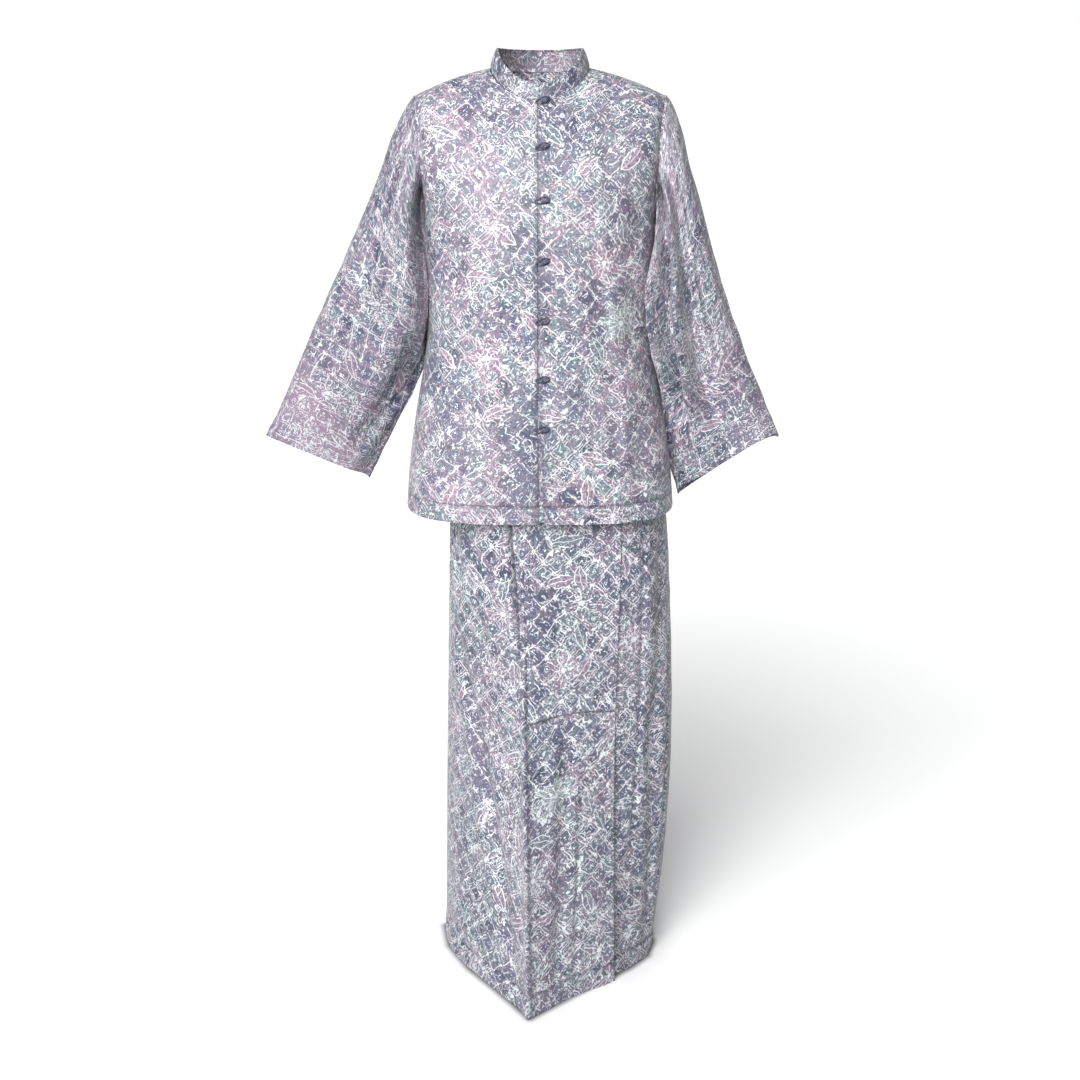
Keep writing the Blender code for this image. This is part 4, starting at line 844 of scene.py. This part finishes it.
def clothMesh(name, surface, across, down, flatten, thick, outward, closed=False, marks=None):
    # A fine grid is laid on the surface, then given its thickness inwards; the shade lines say where shade is
    # painted into the colour along creases and edges
    made = bmesh.new()
    bmesh.ops.create_grid(made, x_segments=len(across) - 1, y_segments=len(down) - 1, size=1.0)
    places = np.array([v.co[:] for v in made.verts])
    col = np.rint((places[:, 0] + 1) / 2 * (len(across) - 1)).astype(int)
    row = np.rint((places[:, 1] + 1) / 2 * (len(down) - 1)).astype(int)
    grid = surface(across[None, :] + 0 * down[:, None], down[:, None] + 0 * across[None, :])
    cut = flatten(grid, across, down)
    # Painted shade along creases and edges, carried as a vertex attribute to the material
    pressed = marks(across[None, :], down[:, None]) if marks else np.zeros((len(down), len(across)))
    pressedLayer = made.verts.layers.float.new("pressed")
    for v, r, c in zip(made.verts, row, col):
        v.co = grid[r, c]
        v[pressedLayer] = pressed[r, c]
    bmesh.ops.recalc_face_normals(made, faces=made.faces)
    made.faces.ensure_lookup_table()
    facing = sum(f.normal.dot(Vector(outward(f.calc_center_median()))) for f in list(made.faces)[::7])
    if facing < 0:
        bmesh.ops.reverse_faces(made, faces=made.faces)
    layer = made.loops.layers.uv.new("flatCut")
    made.verts.index_update()
    for face in made.faces:
        for loop in face.loops:
            i = loop.vert.index
            loop[layer].uv = cut[row[i], col[i]]
    if closed:
        bmesh.ops.remove_doubles(made, verts=made.verts, dist=1e-6)
    area = sum(f.calc_area() for f in made.faces)
    mesh = bpy.data.meshes.new(name)
    made.to_mesh(mesh)
    made.free()
    mesh.shade_smooth()
    shell = bpy.data.objects.new(name + "Shell", mesh)
    scene.collection.objects.link(shell)
    solid = shell.modifiers.new("thickness", "SOLIDIFY")
    solid.thickness = thick
    solid.offset = -1.0
    solid.use_rim = True
    finished = bpy.data.meshes.new_from_object(shell.evaluated_get(bpy.context.evaluated_depsgraph_get()))
    finished.name = name
    bpy.data.objects.remove(shell, do_unlink=True)
    finished.set_sharp_from_angle(angle=math.radians(42))
    wide, long = np.ptp(cut[..., 0]), np.ptp(cut[..., 1])
    print(f"{name}: outer face {area:.4f} m2, laid flat {wide:.3f} by {long:.3f} m, {len(finished.polygons)} faces")
    return finished


sheets = {}


def layCloth(node, surface, across, down, flatten, outward, paint, thick=top["cloth"], **more):
    # One cloth piece over its solid, kept for seating the knots
    mesh = clothMesh(node + "_cloth", surface, across, down, flatten, thick, outward, **more)
    sheets[node] = joinPiece(node + "_cloth", mesh, paint, node, node)


def runLengths(grid, axis):
    steps = np.linalg.norm(np.diff(grid, axis=axis), axis=-1)
    start = np.zeros_like(np.take(steps, [0], axis=axis))
    return np.concatenate((start, np.cumsum(steps, axis=axis)), axis=axis)


def between(*pieces):
    # Joined evenly spaced stretches, each given as start, end and count
    out = [np.linspace(a, b, n) for a, b, n in pieces]
    return np.unique(np.round(np.concatenate(out), 6))


torsoGrid = {
    "frontAcross": between((0, 0.40, 34), (0.40, 0.93, 40), (0.93, 1.0, 9)),
    "down": between((0, 0.37, 60), (0.37, 0.955, 88), (0.955, 0.972, 10), (0.972, 1.0, 8)),
}


def torsoFlat(grid, across, down):
    # Lying flat: across by the length round the body, down by the length from the hem
    side = np.sign(grid[..., 0][:, -1:] + 1e-9)
    wide = runLengths(grid, 1)
    mid = int(np.argmin(np.abs(across)))
    wide = wide - wide[:, mid:mid + 1]
    mix = ease(down / 0.20)[:, None]
    u = grid[..., 0] * (1 - mix) + (np.sign(across)[None, :] if across.min() < 0 else side) * np.abs(wide) * mix
    fall = runLengths(grid[::-1], 0)[::-1]
    return np.stack((u, fall), -1)


def panelEdge(first, last):
    def move(t):
        return first + (last - first) * ease((t - 0.62) / 0.38)
    return move


def bodyOut(p):
    return (p[0], p[1], 0.04 + 0.5 * max(p[2] + 0.10, 0.0))


torsoPieces = {
    "front_right": {"side": -1, "edge": panelEdge(0.0036, 0.0034), "print": (0.05, 0.03)},
    "front_left": {"side": 1, "edge": panelEdge(-0.0024, 0.0050), "print": (0.32, 0.48)},
}
for name, spec in torsoPieces.items():
    def surface(s, t, spec=spec):
        return torsoSurface(spec["side"], s, t, True, spec["edge"](t))

    layCloth(name, surface, torsoGrid["frontAcross"], torsoGrid["down"], torsoFlat, bodyOut,
             clothMaterial(name + "_print", spec["print"]), marks=frontMarks)

backAcross = np.concatenate((-torsoGrid["frontAcross"][::-1], torsoGrid["frontAcross"][1:]))


def backSurface(s, t):
    side = np.where(s < 0, -1.0, 1.0)
    return torsoSurface(side, np.abs(s), t, False)


layCloth("back", backSurface, backAcross, torsoGrid["down"], torsoFlat, bodyOut,
         clothMaterial("back_print", (0.7, 0.9)))
print("body panels made")


# Underlap strip behind the left front's edge
def underlapSurface(u, v):
    w = 0.012 + v * 0.984
    x = -top["underlapHalf"] + 2 * top["underlapHalf"] * u + 0.002
    p, aside = torsoSurface(1, 0.0 * v, w, True), torsoSurface(1, 0.07 + 0.0 * v, w, True)
    bend = (aside[..., 1] - p[..., 1]) * (np.abs(x) / np.maximum(np.abs(aside[..., 0]), 1e-3)) ** 2
    return np.stack((x, p[..., 1] + bend + 0.0026, p[..., 2]), -1)


def stripFlat(grid, across, down):
    return np.stack((grid[..., 0], runLengths(grid[::-1], 0)[::-1]), -1)


layCloth("front_underlap", underlapSurface, between((0, 1, 9)), torsoGrid["down"], stripFlat,
         lambda p: (0, -1, 0.2), clothMaterial("underlap_print", (0.2, 0.77), dim=0.25))

# Sleeves, joined along the underarm
sleeveGrid = {"across": between((-0.5, 0.5, 133)),
              "down": between((0, 0.08, 12), (0.08, 0.94, 104), (0.94, 0.97, 9), (0.97, 1.0, 7))}


def sleeveFlat(grid, across, down):
    around = runLengths(grid, 1)
    fall = runLengths(grid, 0)[:, len(across) // 2][:, None]
    return np.stack((around - around[:, -1:] / 2, -fall + 0 * around), -1)


for name, spec in sleeves.items():
    def surface(turn, v, spec=spec):
        return sleeveSurface(spec, turn, v)

    ring = np.linspace(0, 1, 24, endpoint=False)
    axis = np.array([surface(ring, np.full(24, v)).mean(axis=0) for v in np.linspace(0, 1, 12)])

    def sleeveOut(p, axis=axis):
        p = np.array(p)
        return p - axis[np.argmin(np.linalg.norm(axis - p, axis=1))]

    layCloth(name, surface, sleeveGrid["across"], sleeveGrid["down"], sleeveFlat, sleeveOut,
             clothMaterial(name + "_print", **spec["print"]), closed=True)
print("sleeves made")

# Stand collar on the neckline
collar = {"height": (0.024, 0.030, 0.032), "lean": (0.26, 0.36, 0.12), "roundY": 0.072, "cloth": 0.0020,
          "columns": 44}


def collarRim():
    share, n = top["neckShare"], collar["columns"]
    runs = [(1, True, np.linspace(0, share, n), -0.0006), (1, False, np.linspace(share, 0, n)[1:], 0.0),
            (-1, False, np.linspace(0, share, n)[1:], 0.0), (-1, True, np.linspace(share, 0, n)[1:], 0.0020)]
    return np.concatenate([torsoSurface(side, s, 0 * s, front, edge) for side, front, s, edge in runs])


rim = collarRim()
rimRun = np.concatenate(([0.0], np.cumsum(np.linalg.norm(np.diff(rim, axis=0), axis=1))))


def collarSurface(place, rise):
    share = np.minimum(place, rimRun[-1] - place) / rimRun[-1] * 2
    near, far = ease(share / 0.5), ease((share - 0.5) / 0.5)
    # Height and lean at the front, the side and the back
    tall, lean = (a + (b - a) * near + (c - b) * far for a, b, c in (collar["height"], collar["lean"]))
    base = np.stack([np.interp(place, rimRun, rim[:, k]) for k in range(3)], -1)
    radial = np.stack((base[..., 0] / top["neckHalf"] ** 2, base[..., 1] / collar["roundY"] ** 2, 0 * place), -1)
    radial /= np.linalg.norm(radial, axis=-1, keepdims=True)
    up = np.array((0.0, 0.0, 1.0)) - radial * lean[..., None]
    up /= np.linalg.norm(up, axis=-1, keepdims=True)
    bow = 0.0012 * np.sin(np.clip(rise, 0, 1) * math.pi) - 0.0008 * hump(rise, 0.08)
    bow = bow - 0.0010 * ease((rise - 0.93) / 0.07)
    return base + up * (tall * rise)[..., None] + radial * bow[..., None]


def collarFlat(grid, across, down):
    return np.stack((across[None, :] + 0 * grid[..., 0], down[:, None] * 0.03 + 0 * grid[..., 0]), -1)


layCloth("collar", collarSurface, rimRun, between((0, 0.2, 6), (0.2, 0.9, 10), (0.9, 1.0, 5)), collarFlat,
         lambda p: (p[0], p[1], 0), clothMaterial("collar_print", (0.11, 0.35), dim=0.20), collar["cloth"])

# Skirt panels
skirtDown = between((-0.443, -0.60, 24), (-0.60, -0.93, 60), (-0.93, -0.97, 24), (-0.97, -1.375, 66),
                    (-1.375, -1.42, 18))[::-1]
skirtPrint = {"lattice": 0.85, "rose": 0.62}
skirtGrid = {
    "skirt_wrap": {"across": between((0, 0.90, 56), (0.90, 1.10, 49), (1.10, 1.86, 46), (1.86, 2.02, 16)),
                   "wrapPanel": True, "print": (0.0, 0.0), "dim": 0.02, "stitched": (0.02, 2.01)},
    "skirt_underlap": {"across": between((1.28, 2.02, 20), (2.02, 3.0, 70)),
                       "wrapPanel": False, "print": (0.53, 0.19), "dim": 0.08, "stitched": (2.05, 2.98)},
    "skirt_back": {"across": between((3.0, 4.9999, 128)),
                   "wrapPanel": False, "print": (0.93, 0.37), "dim": 0.0, "stitched": (3.02, 4.98)},
}


def skirtOut(p):
    return (p[0] - 0.02, p[1] + 0.01, 0)


def skirtFlat(grid, across, down):
    around = runLengths(grid, 1)
    return np.stack((around - around[:, :1], grid[..., 2]), -1)


def panelSurface(spec, q, z):
    return skirtSurface(q, z, wrapOffset(q, z) if spec["wrapPanel"] else 0.0 * q, spec["wrapPanel"])


for name, spec in skirtGrid.items():
    def surface(q, z, spec=spec):
        return panelSurface(spec, q, z)

    layCloth(name, surface, spec["across"], skirtDown, skirtFlat, skirtOut,
             clothMaterial(name + "_print", spec["print"], dim=spec["dim"], **skirtPrint),
             marks=wrapMarks if spec["wrapPanel"] else hemMarks)


def bandSurface(q, z):
    return skirtSurface(q, z, skirt["band"] + 0.0 * q)


layCloth("skirt_waistband", bandSurface, between((0, 4.9999, 120)), between((-0.4426, -0.408, 8)), skirtFlat,
         skirtOut, clothMaterial("waistband_print", (0.3, 0.6), dim=0.1), skirt["band"])
print("skirt made")


def shadeUnderHem():
    # The floor darkens close against the hem, by the distance from its outline
    paint = bpy.data.materials["studioFloor"]
    shader = paint.node_tree.nodes["Principled BSDF"]
    make, calc, times, plus, minus, step, blend, vector = shaderKit(
        paint.node_tree, "make calc times plus minus step blend vector")
    place = make("ShaderNodeTexCoord", out="Object")
    spots = skirtPlan(np.array((0, 0.2, 0.45, 0.7, 1.0, 1.5, 2.0, 2.35, 2.7, 3.0, 3.4)), skirt["hemZ"])
    near = 1.0
    for a, b in zip(spots[:-1], spots[1:]):
        run = b - a
        off = vector("SUBTRACT", place, (a[0], a[1], 0.0))
        share = times(vector("DOT_PRODUCT", off, (run[0], run[1], 0.0), 1), 1 / float(run @ run))
        share.node.use_clamp = True
        foot = make("ShaderNodeVectorMath", {0: (run[0], run[1], 0.0), 3: share}, operation="SCALE")
        near = calc("MINIMUM", near, vector("LENGTH", vector("SUBTRACT", off, foot), out=1))
    close, wide = (times(step(near, reach, 0.0), amount) for reach, amount in studio["contact"])
    shade = plus(close, wide)
    colour, links = shader.inputs["Base Color"], paint.node_tree.links
    links.new(blend(shade, colour.default_value[:], studio["contactColour"]), colour)
    glow = shader.inputs["Emission Color"].links[0].from_socket
    links.new(times(glow, minus(1.0, shade)), shader.inputs["Emission Color"])


shadeUnderHem()

# Knots and loops, wound from the same cloth and seated on the fronts
fastening = {"x": 0.0060, "topLift": 0.005, "length": 0.0138, "wide": 0.0078, "thick": 0.0074, "strand": 0.0017,
             "coreLength": 0.33, "coreThick": 0.30, "cord": 0.00095, "tail": 0.0050, "winds": 3,
             "leans": (14, 16, 6, 20, 12, 4, 9), "knotDim": 0.74, "loopDim": 0.90}
frontVerts, frontFaces = [], []
for name in ("front_left", "front_right", "collar"):
    start = len(frontVerts)
    frontVerts += [v.co.copy() for v in sheets[name].data.vertices]
    frontFaces += [tuple(k + start for k in face.vertices) for face in sheets[name].data.polygons]
frontTree = BVHTree.FromPolygons(frontVerts, frontFaces)


def frontAt(x, z):
    hit = frontTree.ray_cast(Vector((x, -1.0, z)), Vector((0.0, 1.0, 0.0)))
    return hit[0].y if hit[0] is not None and hit[0].y < 0 else None


def cordMesh(name, points, radius, closed):
    curve = bpy.data.curves.new(name, "CURVE")
    curve.dimensions = "3D"
    curve.bevel_depth = radius
    curve.bevel_resolution = 2
    curve.use_fill_caps = True
    run = curve.splines.new("POLY")
    run.points.add(len(points) - 1)
    run.points.foreach_set("co", np.column_stack((points, np.ones(len(points)))).ravel())
    run.use_cyclic_u = closed
    holder = bpy.data.objects.new(name, curve)
    scene.collection.objects.link(holder)
    mesh = bpy.data.meshes.new_from_object(holder.evaluated_get(bpy.context.evaluated_depsgraph_get()))
    bpy.data.objects.remove(holder, do_unlink=True)
    mesh.name = name
    mesh.shade_smooth()
    return mesh


def knotMaterial(name, dim):
    paint, tree, inputs = newMaterial(name)
    make, blend = shaderKit(tree, "make blend")
    place = make("ShaderNodeTexCoord", out="Object")
    turned = make("ShaderNodeMapping", {"Vector": place, "Rotation": (math.radians(-90), 0, 0),
                                        "Scale": (1.7, 1.7, 1.7)})
    colour = make("ShaderNodeGroup", {"Vector": turned}, out="Colour", node_tree=batikPrint)
    tree.links.new(blend(dim, colour, ink("deep")), inputs["Base Color"])
    grain = make("ShaderNodeTexNoise", {"Vector": place, "Scale": 1600.0, "Detail": 2.0})
    tree.links.new(make("ShaderNodeBump", {"Height": grain, "Strength": 0.5, "Distance": 0.0002}), inputs["Normal"])
    inputs["Roughness"].default_value = 0.55
    return paint


# Painted shade: the knots and loops are darkened towards the deep ink for the shade among their windings
knotCloth = knotMaterial("knot_cloth", fastening["knotDim"])
loopCloth = knotMaterial("loop_cloth", fastening["loopDim"])
for k, level in enumerate(buttonLevels):
    x, level = fastening["x"], level + (fastening["topLift"] if k == 0 else 0.0)
    here = frontAt(x, level)
    above, below = frontAt(x, level + 0.012), frontAt(x, level - 0.012)
    above = below if above is None else above
    down = Vector((0, below - above, -0.024)).normalized()
    n = Vector((0, down.z, -down.y)).normalized()
    n = -n if n.y > 0 else n
    seat = np.array((x, here, level)) + np.array(n) * (fastening["thick"] / 2 + 0.0002)
    # A strand wound over and under itself into a small ball
    t = np.linspace(0, 2 * math.pi, 96, endpoint=False) + 0.5 * k
    fat = fastening["strand"]
    ringA = 0.60 + 0.34 * np.cos(fastening["winds"] * t)
    a = ringA * np.cos(2 * t) * (fastening["length"] / 2 - fat) / 0.94
    b = ringA * np.sin(2 * t) * (fastening["wide"] / 2 - fat) / 0.94
    c = np.sin(fastening["winds"] * t) * (fastening["thick"] / 2 - fat)
    lean = math.radians(fastening["leans"][k])
    flatDown, out = np.array(down), np.array(n)
    across = np.array((1.0, 0, 0)) * math.cos(lean) - flatDown * math.sin(lean)
    downwards = flatDown * math.cos(lean) + np.array((1.0, 0, 0)) * math.sin(lean)
    points = seat + a[:, None] * across + b[:, None] * downwards + c[:, None] * out
    mesh = cordMesh(f"knot_{k + 1}", points, fat, True)
    made = bmesh.new()
    made.from_mesh(mesh)
    core = Matrix.Translation(Vector(seat)) @ Matrix.Diagonal((
        fastening["length"] * fastening["coreLength"], fastening["thick"] * fastening["coreThick"],
        fastening["wide"] * fastening["coreLength"], 1.0))
    bmesh.ops.create_uvsphere(made, u_segments=12, v_segments=8, radius=1.0, matrix=core)
    made.to_mesh(mesh)
    made.free()
    mesh.shade_smooth()
    joinPiece(f"knot_{k + 1}", mesh, knotCloth, f"button_{k + 1}", f"button_{k + 1}")
    # The loop comes from under the right front's edge, round the knot and back
    reach, half = fastening["length"] / 2 + 0.0012, fastening["wide"] / 2 + 0.0008
    turns = np.radians(np.linspace(-125, 125, 15))
    path = [(-(reach + fastening["tail"]), -0.0007), (-(reach + 0.003), -0.0012), (-(reach + 0.001), -half * 0.60)]
    path += [(reach * math.cos(a), half * math.sin(a)) for a in turns]
    path += [(-(reach + 0.001), half * 0.60), (-(reach + 0.003), 0.0016), (-(reach + fastening["tail"]), 0.0010)]
    places, lift = [], fastening["cord"] * 1.05 + 0.0001
    for a, b in path:
        spot = seat + across * a + downwards * b
        y = frontAt(spot[0], spot[2])
        places.append((spot[0], (spot[1] if y is None else y) - lift / abs(n.y), spot[2]))
    places = np.array(places)
    fine = np.linspace(0, len(places) - 1, 70)
    smooth = np.stack([np.interp(fine, np.arange(len(places)), places[:, i]) for i in range(3)], -1)
    for _ in range(3):
        smooth[1:-1] = (smooth[:-2] + 2 * smooth[1:-1] + smooth[2:]) / 4
    mesh = cordMesh(f"loop_{k + 1}_cord", smooth, fastening["cord"], False)
    joinPiece(f"loop_{k + 1}_cord", mesh, loopCloth, f"loop_{k + 1}", f"loop_{k + 1}")
print("knots and loops made")

# Stitches along the hems
thread = {"pitch": 0.0034, "length": 0.0026, "thick": 0.00026, "colour": (0.42, 0.33, 0.42)}
threadPaint = threadMaterial("stitch_thread", thread["colour"])
stitchPieces = {}


def stitchRow(name, slot, line, outward):
    line = np.array(line)
    run = np.concatenate(([0.0], np.cumsum(np.linalg.norm(np.diff(line, axis=0), axis=1))))
    made = bmesh.new()
    for middle in np.arange(thread["pitch"], run[-1] - thread["pitch"] / 2, thread["pitch"]):
        a, b, c = ([np.interp(middle + d, run, line[:, i]) for i in range(3)] for d in (-0.001, 0.0, 0.001))
        along = (Vector(c) - Vector(a)).normalized()
        out = Vector(outward(b))
        out = (out - along * out.dot(along)).normalized()
        side = along.cross(out)
        turn = Matrix((along, side, out)).transposed().to_4x4()
        size = Matrix.Diagonal((thread["length"] / 2, thread["thick"], thread["thick"], 1.0))
        bmesh.ops.create_uvsphere(made, u_segments=6, v_segments=4, radius=1.0,
                                  matrix=Matrix.Translation(Vector(b) + out * thread["thick"] * 0.5) @ turn @ size)
    mesh = bpy.data.meshes.new(name)
    made.to_mesh(mesh)
    made.free()
    mesh.shade_smooth()
    piece = joinPiece(name, mesh, threadPaint, slot)
    stitchPieces.setdefault(slot, []).append(piece)


hemT = 1 - top["hemStitch"] / (top["underarmZ"] - top["hemZ"]) * (1 - top["underarmShare"])
fineS = np.linspace(0.004, 0.995, 240)
for name, spec in torsoPieces.items():
    row = torsoSurface(spec["side"], fineS, hemT, True, spec["edge"](hemT))
    stitchRow(name + "_hem_stitches", name, row, bodyOut)
backS = np.linspace(-0.995, 0.995, 480)
stitchRow("back_hem_stitches", "back", backSurface(backS, hemT + 0 * backS), bodyOut)
for name, spec in sleeves.items():
    turns = np.linspace(0, 1, 300)
    ring = sleeveSurface(spec, turns, 0.96)
    middle = ring.mean(axis=0)
    stitchRow(name + "_cuff_stitches", name, ring, lambda p, middle=middle: np.array(p) - middle)
hemZ = skirt["hemZ"] + skirt["hemStitch"]
for name, spec in skirtGrid.items():
    row = panelSurface(spec, np.linspace(*spec["stitched"], 400), hemZ)
    stitchRow(name + "_hem_stitches", name, row, skirtOut)
print("stitches made")
